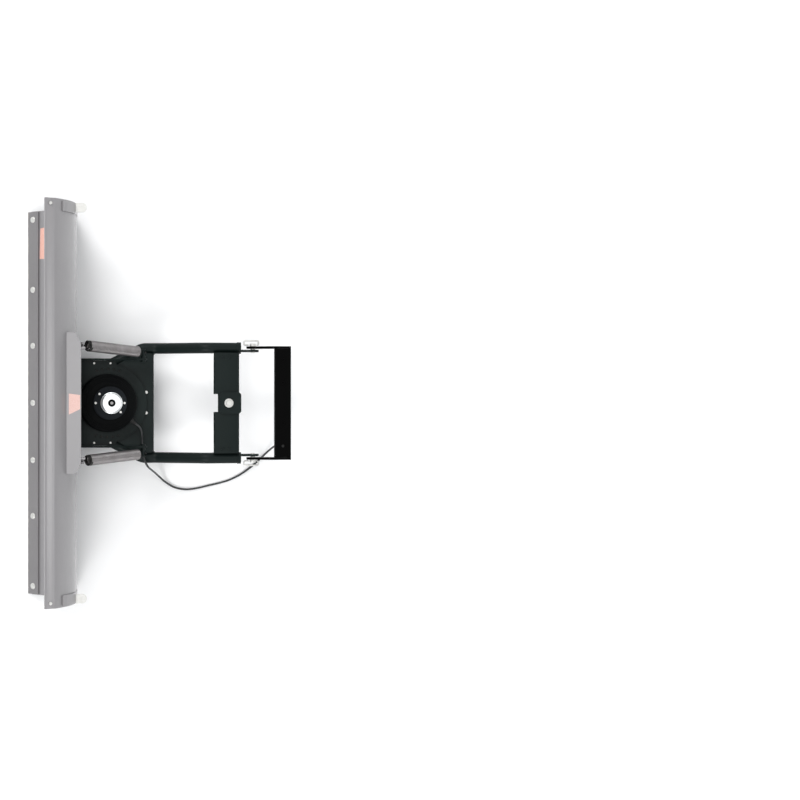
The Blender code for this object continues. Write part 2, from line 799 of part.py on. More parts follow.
def hub_cap():
    """Machined end cap of the motor, with a square drive socket."""
    low = FLANGE_TOP + GAP
    top = 0.262
    profile = [
        (0, top - 0.006), (0.0095, top - 0.006), (0.0105, top), (0.024, top), (0.0305, top - 0.003),
        (0.034, top - 0.009), (0.034, low + 0.006), (0.037, low + 0.003), (0.037, low), (0, low),
    ]
    piece(turned("hub_cap", profile, (0, SWIVEL_Y + 0.013, 0), 28), push_frame, CAP_METAL, 30)


def rear_cross_plate():
    """Folded cross member on the raised ends of the tubes, notched in front of the lift bracket."""
    front, rear = CROSS_SPAN
    fold = front + 0.052
    sheet = bent_sheet(
        "rear_cross_plate",
        [(front, CROSS_LOW + 0.0005), (front + 0.003, CROSS_LOW + CROSS_RISE - 0.001),
         (fold, CROSS_LOW + CROSS_RISE), (rear - 0.004, CROSS_LOW + 0.0045),
         (rear, CROSS_LOW + 0.0005)],
        -CROSS_HALF, CROSS_HALF, CROSS_SHEET, 1,
    )
    notch = box(
        "cross_notch", (-0.040, front - 0.005, CROSS_LOW - 0.005),
        (0.040, front + 0.0118, CROSS_LOW + 0.020),
    )
    combine(sheet, notch, "DIFFERENCE")
    piece(sheet, push_frame, FRAME_PAINT, 30)


def hitch_eye(side, sign):
    """Tube end with the eye that the hitch pin goes through."""
    x = sign * 0.182
    outline = [
        (TUBE_END + 0.004, 0.206), (LIFT_AXIS[0] - 0.012, 0.206),
        *arc(LIFT_AXIS, 0.021, -60, 80, 8), (TUBE_END + 0.004, 0.242),
    ]
    eye = as_mesh(
        plate(f"hitch_eye_{side}", [outline, ring(LIFT_AXIS, PIN_BORE)], 0.008, standing(x))
    )
    cap = rod("tube_cap", 0.0205, (sign * TUBE_X, TUBE_END + GAP, TUBE_HIGH),
              (sign * TUBE_X, TUBE_END + 0.010, TUBE_HIGH), 24)
    combine(eye, cap, "UNION")
    piece(eye, push_frame, FRAME_PAINT)


def lift_bracket():
    """Saddle on the cross member that the vehicle's winch lifts by."""
    outline = [
        (-0.030, -0.217), (0.030, -0.217), (0.0375, -0.2085), (0.0375, -0.150), (0.030, -0.143),
        (-0.030, -0.143), (-0.0375, -0.150), (-0.0375, -0.2085),
    ]
    made = plate(
        "lift_bracket", [outline, ring((0, LIFT_BOLT_Y), 0.0063, 16)], BRACKET_THICK,
        lying(BRACKET_LOW + BRACKET_THICK / 2),
    )
    piece(made, push_frame, FRAME_PAINT)


def lift_bolt():
    """Bolt and washer on the lift bracket."""
    low = BRACKET_LOW + BRACKET_THICK + GAP
    profile = [
        (0, low + 0.0115), (0.009, low + 0.0115), (0.0115, low + 0.0095), (0.0115, low + 0.003),
        (0.0155, low + 0.003), (0.0155, low), (0.006, low), (0.006, low - 0.0060),
        (0, low - 0.0060),
    ]
    piece(turned("lift_bolt", profile, (0, LIFT_BOLT_Y, 0), 20), push_frame, ZINC, 40)


def cable_gland():
    """Tapered strain relief where the power lead leaves the drive housing."""
    profile = [
        (0, GLAND_LONG), (0.0042, GLAND_LONG), (0.0060, 0.006), (0.0085, 0.005), (0.0085, 0),
        (0, 0),
    ]
    gland = turned("cable_gland", profile, GLAND_PLACE, 16)
    direction = Vector((math.sin(GLAND_ANGLE), math.cos(GLAND_ANGLE), 0))
    turn = Vector((0, 0, 1)).rotation_difference(direction)
    gland.rotation_mode = "QUATERNION"
    gland.rotation_quaternion = turn
    piece(gland, push_frame, RUBBER, 40)


front_cross_tube()
base_plate()
bearing_disc()
pivot_hub()
planet_gears()
sun_gear()
drive_housing()
motor_flange()
hub_cap()
rear_cross_plate()
lift_bracket()
lift_bolt()
cable_gland()
for make in (side_tube, hitch_eye):
    sides(make)


# ---- Hitch pins --------------------------------------------------------------------------

def hitch_pin(side, sign):
    """Spring-loaded hitch pin and its wire handle."""
    carrier = axis_empty(f"hitch_axis_{side}", (sign * 0.190, *LIFT_AXIS), push_frame)
    outer = MOUNT_HALF + ARM_THICK + 2 * GAP
    profile = [
        (0, outer + 0.010), (0.009, outer + 0.010), (0.011, outer + 0.008), (0.011, outer),
        (PIN_RADIUS, outer), (PIN_RADIUS, 0.178), (0.006, 0.175), (0, 0.175),
    ]
    pin = turned(f"hitch_pin_{side}", profile, (0, *LIFT_AXIS), 20, "X" if sign > 0 else "-X")
    piece(pin, carrier, ZINC, 40)
    y, z = LIFT_AXIS
    near, far = outer + 0.005, outer + 0.020  # the handle's reach from the arm
    wire = rounded_corners(
        [(sign * near, y - 0.0145, z), (sign * near, y - 0.030, z), (sign * far, y - 0.030, z),
         (sign * far, y + 0.020, z), (sign * near, y + 0.020, z), (sign * near, y + 0.0145, z)],
        0.004, 3,
    )
    piece(tube(f"pin_handle_{side}", wire, 0.0028, 1), carrier, ZINC)


sides(hitch_pin)


# ---- Mount kit ---------------------------------------------------------------------------

def mount_channel():
    top = MOUNT_HEIGHT
    front = -MOUNT_DEPTH / 2
    channel = bent_sheet(
        "mount_channel",
        [(front, top - CHANNEL_LEG), (front, top), (-front, top), (-front, top - CHANNEL_LEG)],
        -MOUNT_HALF, MOUNT_HALF, CHANNEL_SHEET, -1,
    )
    for x in (-0.150, -0.070, 0.070, 0.150):
        hole = rod("mount_bolt_hole", 0.0055, (x, 0, top - 0.02), (x, 0, top + 0.01), 16)
        combine(channel, hole, "DIFFERENCE")
    piece(channel, mount_kit, KIT_PAINT)


def mount_arm(side, sign):
    """End plate of the kit, reaching forward to the hitch pin."""
    outline = [
        (MOUNT_DEPTH / 2, MOUNT_HEIGHT), (-0.040, MOUNT_HEIGHT), (-0.075, 0.256),
        *arc(LIFT_AXIS, 0.022, 60, 290, 12), (-0.040, 0.222), (MOUNT_DEPTH / 2, 0.246),
    ]
    x = sign * (MOUNT_HALF + GAP + ARM_THICK / 2)
    arm = plate(f"mount_arm_{side}", [outline, ring(LIFT_AXIS, PIN_BORE)], ARM_THICK, standing(x))
    piece(arm, mount_kit, KIT_PAINT)


mount_channel()
sides(mount_arm)


# ---- Power lead --------------------------------------------------------------------------

CABLE_RADIUS = 0.0035
FLOOR = CABLE_RADIUS + GAP
PLUG_X = 0.150
GLAND_TIP = GLAND_LONG + GAP
CABLE_ROUTE = [
    (GLAND_PLACE[0] + GLAND_TIP * math.sin(GLAND_ANGLE),
     GLAND_PLACE[1] + GLAND_TIP * math.cos(GLAND_ANGLE), GLAND_PLACE[2]),
    (0.0835, -0.4910, 0.1775), (0.1000, -0.4835, 0.1700), (0.1250, -0.4815, 0.1620),
    (0.1550, -0.4800, 0.1585), (0.1850, -0.4770, 0.1580), (0.2090, -0.4690, 0.1570),
    (0.2250, -0.4590, 0.1400), (0.2360, -0.4470, 0.1050), (0.2490, -0.4320, 0.0640),
    (0.2660, -0.4140, 0.0280), (0.2870, -0.3900, 0.0085), (0.3050, -0.3580, FLOOR),
    (0.3120, -0.3200, FLOOR), (0.3080, -0.2800, FLOOR), (0.2990, -0.2400, FLOOR),
    (0.2900, -0.2000, FLOOR), (0.2780, -0.1600, FLOOR), (0.2580, -0.1200, FLOOR),
    (0.2310, -0.0820, FLOOR), (0.2020, -0.0500, 0.0070), (0.1760, -0.0250, 0.0250),
    (0.1590, -0.0090, 0.0620), (0.1520, -0.0020, 0.1050), (PLUG_X, 0.0000, 0.1500),
    (PLUG_X, 0.0000, 0.1900),
]
piece(
    tube("power_cable", smooth_through(CABLE_ROUTE, 2), CABLE_RADIUS, 2), push_frame, RUBBER,
)


def cable_plug():
    """Connector on the lead's end, held under the mount channel."""
    low = CABLE_ROUTE[-1][2] + GAP
    profile = [
        (0, 0.240), (0.0085, 0.240), (0.0085, 0.222), (0.0110, 0.222), (0.0110, low + 0.012),
        (0.0060, low), (0, low),
    ]
    piece(turned("cable_plug", profile, (PLUG_X, 0, 0), 16), mount_kit, RUBBER, 40)


def plug_holder():
    """Moulded block on the channel's underside that the connector pushes into."""
    under = MOUNT_HEIGHT - CHANNEL_SHEET - GAP
    holder = box(
        "plug_holder", (PLUG_X - 0.014, -0.014, 0.226), (PLUG_X + 0.014, 0.014, under), 0.001,
    )
    pocket = rod("plug_pocket", 0.0085 + GAP, (PLUG_X, 0, 0.210), (PLUG_X, 0, 0.2405), 16)
    combine(holder, pocket, "DIFFERENCE")
    piece(holder, mount_kit, RUBBER)


cable_plug()
plug_holder()

ground.location.z = -MOUNT_HEIGHT
bpy.context.view_layer.update()
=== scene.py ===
import math

import bmesh
import bpy
from mathutils import Matrix, Vector


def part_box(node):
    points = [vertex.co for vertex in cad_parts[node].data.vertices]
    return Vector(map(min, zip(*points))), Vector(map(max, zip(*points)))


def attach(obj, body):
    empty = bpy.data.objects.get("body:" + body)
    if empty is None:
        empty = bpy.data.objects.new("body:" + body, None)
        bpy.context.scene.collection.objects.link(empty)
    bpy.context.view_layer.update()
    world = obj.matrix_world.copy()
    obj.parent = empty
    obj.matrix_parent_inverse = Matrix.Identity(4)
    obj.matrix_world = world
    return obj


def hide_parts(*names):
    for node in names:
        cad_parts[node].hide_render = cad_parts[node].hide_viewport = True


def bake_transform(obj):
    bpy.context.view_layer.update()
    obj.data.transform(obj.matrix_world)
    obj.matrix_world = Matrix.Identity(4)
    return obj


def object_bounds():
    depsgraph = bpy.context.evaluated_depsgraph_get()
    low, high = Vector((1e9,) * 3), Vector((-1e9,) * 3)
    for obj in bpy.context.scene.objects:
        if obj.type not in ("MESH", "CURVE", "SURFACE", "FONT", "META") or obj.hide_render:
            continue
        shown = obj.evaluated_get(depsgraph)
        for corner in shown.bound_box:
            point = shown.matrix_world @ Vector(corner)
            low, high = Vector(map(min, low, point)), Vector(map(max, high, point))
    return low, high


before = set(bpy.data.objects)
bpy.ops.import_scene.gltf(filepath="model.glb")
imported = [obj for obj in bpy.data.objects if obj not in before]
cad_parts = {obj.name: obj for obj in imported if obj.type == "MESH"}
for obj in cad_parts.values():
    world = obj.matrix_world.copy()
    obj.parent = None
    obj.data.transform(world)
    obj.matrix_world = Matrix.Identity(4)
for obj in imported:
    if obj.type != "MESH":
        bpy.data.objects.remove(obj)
cad_low, cad_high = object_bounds()


# ---- Camera --------------------------------------------------------------------------------
# It looks down from 6 m above the ground, tilted a little towards the vehicle, and has the
# blade on the left of the picture and the vehicle's side on the right.

CAMERA_TILT = math.radians(10.8)
CAMERA_PLACE = (-0.0105, -0.6764, 5.72)

camera = bpy.data.objects.new("camera", bpy.data.cameras.new("camera"))
bpy.context.scene.collection.objects.link(camera)
camera.data.sensor_width = 36
camera.data.lens = 74.25
picture_right = (0, math.cos(CAMERA_TILT), math.sin(CAMERA_TILT))
picture_up = (-1, 0, 0)
towards_camera = (0, -math.sin(CAMERA_TILT), math.cos(CAMERA_TILT))
camera.matrix_world = Matrix.Translation(CAMERA_PLACE) @ (
    Matrix((picture_right, picture_up, towards_camera)).transposed().to_4x4()
)
bpy.context.scene.camera = camera
bpy.context.scene.view_settings.view_transform = "Standard"


# ---- Power lead ----------------------------------------------------------------------------
# Two-core lead of the swivel motor, 7 mm in a black PVC sheath. It leaves the drive housing
# through a moulded rubber strain relief, crosses the base plate, drops to the ground beside
# the frame, and runs back to a connector pushed into a block under the mount kit.

GROUND = -0.280
CABLE_RADIUS = 0.0035
LYING = GROUND + 0.0038
CABLE_ROUTE = [
    (0.073176, -0.502894, GROUND + 0.1795),
    *[(x, y, GROUND + height) for x, y, height in (
        (0.0835, -0.4910, 0.1775), (0.1000, -0.4835, 0.1700), (0.1250, -0.4815, 0.1620),
        (0.1550, -0.4800, 0.1585), (0.1850, -0.4770, 0.1580), (0.2090, -0.4690, 0.1570),
        (0.2250, -0.4590, 0.1400), (0.2360, -0.4470, 0.1050), (0.2490, -0.4320, 0.0640),
        (0.2660, -0.4140, 0.0280), (0.2870, -0.3900, 0.0085),
    )],
    *[(x, y, LYING) for x, y in (
        (0.3050, -0.3580), (0.3120, -0.3200), (0.3080, -0.2800), (0.2990, -0.2400),
        (0.2900, -0.2000), (0.2780, -0.1600), (0.2580, -0.1200), (0.2310, -0.0820),
    )],
    *[(x, y, GROUND + height) for x, y, height in (
        (0.2020, -0.0500, 0.0070), (0.1760, -0.0250, 0.0250), (0.1590, -0.0090, 0.0620),
        (0.1520, -0.0020, 0.1050), (0.1500, 0.0000, 0.1500), (0.1500, 0.0000, 0.1900),
    )],
]


def smooth_through(points, each):
    """Points on a smooth curve through all the given ones, so many to each stretch."""
    points = [Vector(point) for point in points]
    ends = [2 * points[0] - points[1], *points, 2 * points[-1] - points[-2]]
    curve = []
    for a, b, c, d in zip(ends, ends[1:], ends[2:], ends[3:]):
        for step in range(each):
            t = step / each
            curve.append(0.5 * (
                2 * b + (c - a) * t + (2 * a - 5 * b + 4 * c - d) * t**2
                + (3 * b - a - 3 * c + d) * t**3
            ))
    return [*curve, points[-1]]


def swept(points, radius, sides=16):
    """A round bar along points; radius is one value, or one for each point."""
    points = [Vector(point) for point in points]
    radii = radius if isinstance(radius, list) else [radius] * len(points)
    shape = bmesh.new()
    across = (points[1] - points[0]).orthogonal().normalized()
    rings = []
    for number, (point, reach) in enumerate(zip(points, radii)):
        before, after = points[max(number - 1, 0)], points[min(number + 1, len(points) - 1)]
        along = (after - before).normalized()
        across = (across - along * across.dot(along)).normalized()
        upright = along.cross(across)
        turns = [2 * math.pi * side / sides for side in range(sides)]
        rings.append([
            shape.verts.new(point + reach * (across * math.cos(a) + upright * math.sin(a)))
            for a in turns
        ])
    for ring, following in zip(rings, rings[1:]):
        for side in range(sides):
            beside = (side + 1) % sides
            shape.faces.new((ring[side], ring[beside], following[beside], following[side]))
    shape.faces.new(rings[0])
    shape.faces.new(rings[-1])
    return shape


def turned(profile, place, direction=(0, 0, 1), steps=48, shape=None):
    """A turned shape: radius and height points from axis to axis, about a direction."""
    shape = shape or bmesh.new()
    aim = Vector((0, 0, 1)).rotation_difference(Vector(direction))
    rings = []
    for radius, height in profile:
        turns = [2 * math.pi * step / steps for step in range(steps if radius else 1)]
        rings.append([
            shape.verts.new(
                Vector(place) + aim @ Vector((radius * math.cos(a), radius * math.sin(a), height))
            ) for a in turns
        ])
    for ring, following in zip(rings, rings[1:]):
        for step in range(steps):
            beside = (step + 1) % steps
            corners = [
                ring[step % len(ring)], ring[beside % len(ring)],
                following[beside % len(following)], following[step % len(following)],
            ]
            corners = list(dict.fromkeys(corners))
            if len(corners) > 2:
                shape.faces.new(corners)
    return shape


def finished_piece(name, shape, material, body=None, sharp=35):
    """A shape as a named piece that rides on a body; edges over the sharp angle stay sharp."""
    bmesh.ops.recalc_face_normals(shape, faces=shape.faces)
    mesh = bpy.data.meshes.new(name)
    shape.to_mesh(mesh)
    shape.free()
    mesh.materials.append(material)
    mesh.shade_smooth()
    mesh.set_sharp_from_angle(angle=math.radians(sharp))
    made = bpy.data.objects.new(name, mesh)
    bpy.context.scene.collection.objects.link(made)
    if body:
        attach(made, body)
    return made


def linear(code):
    """The linear colour of an sRGB hex value."""
    parts = [int(code[start:start + 2], 16) / 255 for start in (1, 3, 5)]
    return (*[c / 12.92 if c <= 0.04045 else ((c + 0.055) / 1.055) ** 2.4 for c in parts], 1)


def new_material(name, **sockets):
    """A material and its Principled shader, with constants set on the shader's own sockets."""
    made = bpy.data.materials.new(name)
    made.use_nodes = True
    shader = made.node_tree.nodes["Principled BSDF"]
    for socket, value in sockets.items():
        shader.inputs[socket.replace("_", " ")].default_value = value
    return made, shader


def add_node(material, kind, inputs=None, to=None, **settings):
    """Adds one node. An input is a value, a socket, or a node whose main output feeds it; `to`
    is the socket that the new node's main output goes to."""
    made = material.node_tree.nodes.new("ShaderNode" + kind)
    for setting, value in settings.items():
        setattr(made, setting, value)
    links = material.node_tree.links
    for name, value in (inputs or {}).items():
        named = [s for s in made.inputs if s.enabled and s.name == name]
        socket = made.inputs[name] if isinstance(name, int) else named[0]
        if isinstance(value, bpy.types.Node):
            value = next(s for s in value.outputs if s.enabled)
        if isinstance(value, bpy.types.NodeSocket):
            links.new(value, socket)
        else:
            socket.default_value = value
    if to:
        links.new(next(s for s in made.outputs if s.enabled), to)
    return made


# Plasticised PVC sheath: even satin black, with the slight ripple of an extruded skin.
SHEATH_RIPPLE_MM = 2.5
pvc_sheath, shader = new_material(
    "satin_pvc_sheath", Base_Color=linear("#1c1d1e"), Roughness=0.42, IOR=1.53,
)
surface = add_node(pvc_sheath, "TexCoord").outputs["Object"]
ripple = add_node(
    pvc_sheath, "TexNoise",
    {"Vector": surface, "Scale": 1000 / SHEATH_RIPPLE_MM, "Detail": 3.0, "Roughness": 0.55},
)
add_node(
    pvc_sheath, "Bump", {"Height": ripple, "Strength": 0.25, "Distance": 0.0003},
    shader.inputs["Normal"],
)
scuffs = add_node(pvc_sheath, "TexNoise", {"Vector": surface, "Scale": 45.0, "Detail": 4.0})
add_node(
    pvc_sheath, "Mix",
    {"Factor": scuffs, "A": linear("#17181a"), "B": linear("#2b2c2d")},
    shader.inputs["Base Color"], data_type="RGBA",
)

cable_path = smooth_through(CABLE_ROUTE, 8)
cable = finished_piece(
    "power_lead", swept(cable_path, CABLE_RADIUS, 14), pvc_sheath, sharp=60,
)
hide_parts("power_cable")
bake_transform(cable)

# Moulded EPDM rubber: dull black with a fine spark-eroded grain.
RUBBER_GRAIN_MM = 0.9
moulded_rubber, shader = new_material(
    "moulded_epdm_rubber", Base_Color=linear("#1a1a1a"), Roughness=0.68, IOR=1.52,
)
surface = add_node(moulded_rubber, "TexCoord").outputs["Object"]
grain = add_node(
    moulded_rubber, "TexNoise",
    {"Vector": surface, "Scale": 1000 / RUBBER_GRAIN_MM, "Detail": 2.0},
)
add_node(
    moulded_rubber, "Bump",
    {"Height": grain, "Strength": 0.3, "Distance": 0.0002},
    shader.inputs["Normal"],
)
bloom = add_node(moulded_rubber, "TexNoise", {"Vector": surface, "Scale": 30.0, "Detail": 3.0})
add_node(
    moulded_rubber, "Mix",
    {"Factor": bloom, "A": linear("#161616"), "B": linear("#252524")},
    shader.inputs["Base Color"], data_type="RGBA",
)

relief_low = Vector((0.06096, -0.51910, GROUND + 0.1795))
relief_way = Vector(CABLE_ROUTE[0]) - relief_low
relief_profile = [(0, 0), (0.0085, 0), (0.0085, 0.0040), (0.0078, 0.0046)]
for rib in range(5):
    start, reach = 0.0052 + 0.0028 * rib, 0.0068 - 0.00048 * rib
    relief_profile += [(reach - 0.0010, start), (reach, start + 0.0004), (reach, start + 0.0015)]
relief_profile += [(0.0043, 0.0192), (0.0040, 0.0200), (0, 0.0200)]
relief = finished_piece(
    "strain_relief", turned(relief_profile, relief_low, relief_way, 32), moulded_rubber,
    "push_frame",
)
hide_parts("cable_gland")


def dressed(node, material, edge_mm=0.0):
    """A CAD node with its finish, and with its sharp edges broken by so much."""
    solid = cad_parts[node]
    solid.data.materials.clear()
    solid.data.materials.append(material)
    if "custom_normal" in solid.data.attributes:
        solid.data.attributes.remove(solid.data.attributes["custom_normal"])
    solid.modifiers.new("joined", "WELD").merge_threshold = 0.00001
    if edge_mm:
        flat = solid.modifiers.new("flats", "DECIMATE")
        flat.decimate_type = "DISSOLVE"
        flat.angle_limit = math.radians(0.5)
        edges = solid.modifiers.new("broken edges", "BEVEL")
        edges.width = edge_mm / 1000
        edges.segments = 2
        edges.limit_method = "ANGLE"
        edges.angle_limit = math.radians(35)
        solid.data.shade_smooth()
        solid.modifiers.new("shading", "WEIGHTED_NORMAL").keep_sharp = True
    else:
        solid.modifiers.new("facets", "EDGE_SPLIT").split_angle = math.radians(30)
        solid.data.shade_smooth()
    return solid


dressed("cable_plug", moulded_rubber)
dressed("plug_holder", moulded_rubber, 0.6)


# ---- Moldboard -----------------------------------------------------------------------------
# The blade's 3 mm steel sheet, 1356 mm wide: straight behind the wear bar, rolled to a 245 mm
# radius above it, and folded forward into a lip with a short hem. It is powder coated grey.

SHEET = 0.003
SLOPE = math.radians(45)
BLADE_HALF = 0.678
ROLL_RADIUS = 0.245
ROLL_CENTRE = (-0.952775, -0.014578)
FACE_START = (-0.862972, -0.271257)
LIP_FORWARD, LIP_RISE = 0.028, 0.011


def sheet_outline(line, thickness, side=0.5):
    """The closed outline of a sheet along a y-z line; side is the share on its left."""
    line = [Vector(point) for point in line]
    left, right = [], []
    for number, point in enumerate(line):
        before, after = line[max(number - 1, 0)], line[min(number + 1, len(line) - 1)]
        along = (after - before).normalized()
        normal = Vector((-along.y, along.x))
        left.append(point + normal * thickness * side)
        right.append(point - normal * thickness * (1 - side))
    return [*left, *reversed(right)]


def extruded(outline, x_low, x_high, stations=1):
    """A y-z outline run along X between two ends, capped."""
    shape = bmesh.new()
    rings = [
        [shape.verts.new((x_low + (x_high - x_low) * i / stations, y, z)) for y, z in outline]
        for i in range(stations + 1)
    ]
    for ring, following in zip(rings, rings[1:]):
        for i in range(len(outline)):
            j = (i + 1) % len(outline)
            shape.faces.new((ring[i], ring[j], following[j], following[i]))
    shape.faces.new(rings[0])
    shape.faces.new(rings[-1])
    return shape


def with_broken_edges(made, width_mm, angle=35):
    """Adds a small bevel and even shading to a piece's sharp edges."""
    edges = made.modifiers.new("broken edges", "BEVEL")
    edges.width = width_mm / 1000
    edges.segments = 2
    edges.limit_method = "ANGLE"
    edges.angle_limit = math.radians(angle)
    made.data.shade_smooth()
    made.modifiers.new("shading", "WEIGHTED_NORMAL").keep_sharp = True
    return made


def powder_coat(name, colour, cloud, scuff, roughness, scuffed=0.12, **sockets):
    """Baked polyester powder on steel: a soft even colour with orange peel, and rub marks."""
    peel_mm, fine_peel_mm, cloud_mm, scuff_mm = 4.0, 1.2, 160.0, 22.0
    material, shader = new_material(name, Base_Color=linear(colour), IOR=1.5, **sockets)
    surface = add_node(material, "TexCoord").outputs["Object"]
    clouds = add_node(
        material, "TexNoise", {"Vector": surface, "Scale": 1000 / cloud_mm, "Detail": 5.0},
    )
    tone = add_node(
        material, "Mix",
        {"Factor": clouds, "A": linear(colour), "B": linear(cloud)},
        data_type="RGBA",
    )
    stretched = add_node(material, "Mapping", {"Vector": surface, "Scale": (1.0, 4.0, 4.0)})
    marks = add_node(
        material, "TexNoise",
        {"Vector": stretched, "Scale": 1000 / scuff_mm, "Detail": 8.0,
         "Roughness": 0.7},
    )
    rubbed = add_node(
        material, "MapRange",
        {"Value": marks, "From Min": 0.58, "From Max": 0.78, "To Max": scuffed},
    )
    add_node(
        material, "Mix",
        {"Factor": rubbed, "A": tone, "B": linear(scuff)},
        shader.inputs["Base Color"], data_type="RGBA",
    )
    add_node(
        material, "MapRange",
        {"Value": marks, "From Min": 0.3, "From Max": 0.8,
         "To Min": roughness - 0.04, "To Max": roughness + 0.14},
        shader.inputs["Roughness"],
    )
    peel = add_node(
        material, "TexNoise", {"Vector": surface, "Scale": 1000 / peel_mm, "Detail": 1.0},
    )
    fine = add_node(
        material, "TexNoise", {"Vector": surface, "Scale": 1000 / fine_peel_mm, "Detail": 1.0},
    )
    soft = add_node(
        material, "Bump",
        {"Height": peel, "Strength": 0.22, "Distance": 0.0004},
    )
    add_node(
        material, "Bump",
        {"Height": fine, "Strength": 0.16, "Distance": 0.0002,
         "Normal": soft},
        shader.inputs["Normal"],
    )
    return material


# The blade's grey is glossier than the frame's black: level faces catch the light above, and
# steep ones the pale floor.
blade_grey = powder_coat(
    "glossy_grey_powder_coat", "#7a787a", "#838182", "#646263", 0.42,
    Coat_Weight=0.9, Coat_Roughness=0.24, Coat_IOR=1.5,
)

lip_end = (
    ROLL_CENTRE[0] + ROLL_RADIUS * math.cos(math.radians(44)),
    ROLL_CENTRE[1] + ROLL_RADIUS * math.sin(math.radians(44)),
)
board_line = [FACE_START] + [
    (ROLL_CENTRE[0] + ROLL_RADIUS * math.cos(math.radians(a)),
     ROLL_CENTRE[1] + ROLL_RADIUS * math.sin(math.radians(a)))
    for a in [-45 + 89 * step / 56 for step in range(56)]
]
bend = smooth_through([
    (*lip_end, 0), (lip_end[0] - 0.0035, lip_end[1] + 0.0020, 0),
    (lip_end[0] - 0.0080, lip_end[1] + 0.0034, 0),
    (lip_end[0] - LIP_FORWARD + 0.0030, lip_end[1] + LIP_RISE - 0.0008, 0),
    (lip_end[0] - LIP_FORWARD, lip_end[1] + LIP_RISE - 0.0008, 0),
    (lip_end[0] - LIP_FORWARD - 0.0016, lip_end[1] + LIP_RISE - 0.0040, 0),
    (lip_end[0] - LIP_FORWARD - 0.0020, lip_end[1] + LIP_RISE - 0.0100, 0),
], 4)
board_line += [(point.x, point.y) for point in bend]
board = finished_piece(
    "moldboard_sheet",
    extruded(sheet_outline(board_line, SHEET, 0.0), -BLADE_HALF, BLADE_HALF, 12),
    blade_grey, "blade",
)
with_broken_edges(board, 0.5)
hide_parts("moldboard")


# ---- Wear bar and its bolts ----------------------------------------------------------------
# Flat steel bar, 50 x 6 mm, on the blade's lower edge: coated grey with the blade, and scraped
# bare along the edge that runs on the ground. Seven zinc plated carriage bolts hold it.

BAR_TALL, BAR_THICK = 0.050, 0.006
EDGE = (-0.876, GROUND + 0.0045)
BOLT_X = (-0.648, -0.400, -0.202, 0.0, 0.202, 0.400, 0.648)
BARE_STRIP_MM = 7.0

wear_grey = powder_coat("scraped_grey_powder_coat", "#737172", "#7c7a7b", "#565455", 0.48, 0.25)
shader = wear_grey.node_tree.nodes["Principled BSDF"]
paint = shader.inputs["Base Color"].links[0].from_socket
surface = add_node(wear_grey, "TexCoord").outputs["Object"]
height = add_node(wear_grey, "SeparateXYZ", {"Vector": surface}).outputs["Z"]
ragged = add_node(wear_grey, "TexNoise", {"Vector": surface, "Scale": 60.0, "Detail": 6.0})
waver = add_node(
    wear_grey, "MapRange", {"Value": ragged, "To Min": -0.005, "To Max": 0.005},
)
level = add_node(
    wear_grey, "Math", {0: height, 1: waver}, operation="ADD",
)
bare = add_node(
    wear_grey, "MapRange",
    {"Value": level, "From Min": GROUND + BARE_STRIP_MM / 1000,
     "From Max": GROUND + BARE_STRIP_MM / 1000 - 0.002},
)
add_node(
    wear_grey, "Mix",
    {"Factor": bare, "A": paint, "B": linear("#a8a49e")},
    shader.inputs["Base Color"], data_type="RGBA",
)
add_node(
    wear_grey, "MapRange", {"Value": bare, "To Max": 0.9},
    shader.inputs["Metallic"],
)

out_of_bar = Vector((0, -math.sin(SLOPE), math.cos(SLOPE)))
up_bar = Vector((0, math.cos(SLOPE), math.sin(SLOPE)))
bar_corner = Vector((0, *EDGE))
top_corner = bar_corner + up_bar * BAR_TALL
bar_outline = [
    bar_corner, top_corner, top_corner - out_of_bar * BAR_THICK,
    bar_corner - out_of_bar * BAR_THICK,
]
bar = finished_piece(
    "wear_bar_steel", extruded([(p.y, p.z) for p in bar_outline], -0.676, 0.676, 8), wear_grey,
    "blade",
)
with_broken_edges(bar, 0.8)
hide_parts("wear_bar")


# Bright zinc plate: a bluish silver skin, brushed by handling and slightly cloudy.
ZINC_CLOUD_MM = 9.0
zinc_plate, shader = new_material("bright_zinc_plated_steel", Metallic=1.0)
surface = add_node(zinc_plate, "TexCoord").outputs["Object"]
spangle = add_node(
    zinc_plate, "TexNoise",
    {"Vector": surface, "Scale": 1000 / ZINC_CLOUD_MM, "Detail": 6.0, "Roughness": 0.65},
)
add_node(
    zinc_plate, "Mix",
    {"Factor": spangle, "A": linear("#e2e2e0"), "B": linear("#c6c5c0")},
    shader.inputs["Base Color"], data_type="RGBA",
)
add_node(
    zinc_plate, "MapRange", {"Value": spangle, "To Min": 0.40, "To Max": 0.62},
    shader.inputs["Roughness"],
)
add_node(
    zinc_plate, "Bump", {"Height": spangle, "Strength": 0.15, "Distance": 0.0002},
    shader.inputs["Normal"],
)

for number, x in enumerate(BOLT_X, 1):
    middle = bar_corner + up_bar * (BAR_TALL / 2)
    dome = [
        (0.0112 * math.sin(a), 0.0052 * math.cos(a) - 0.0002)
        for a in [math.radians(8 * step) for step in range(12)]
    ]
    behind = -(BAR_THICK + SHEET + 0.0009)
    profile = [
        *dome, (0.0110, 0.0002), (0.0050, 0.0002), (0.0050, behind), (0.0098, behind),
        (0.0098, behind - 0.0012), (0.0050, behind - 0.0012), (0.0050, behind - 0.0118),
        (0.0042, behind - 0.0125), (0, behind - 0.0125),
    ]
    bolt = turned(profile, middle + Vector((x, 0, 0)), out_of_bar, 32)
    nut = [
        (0.0050, behind - 0.0012), (0.0092, behind - 0.0012), (0.0098, behind - 0.0020),
        (0.0098, behind - 0.0082), (0.0088, behind - 0.0090), (0.0050, behind - 0.0090),
    ]
    turned(nut, middle + Vector((x, 0, 0)), out_of_bar, 6, bolt)
    made = finished_piece(f"carriage_bolt_{number}", bolt, zinc_plate, "blade")
    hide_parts(f"wear_bolt_{number}")


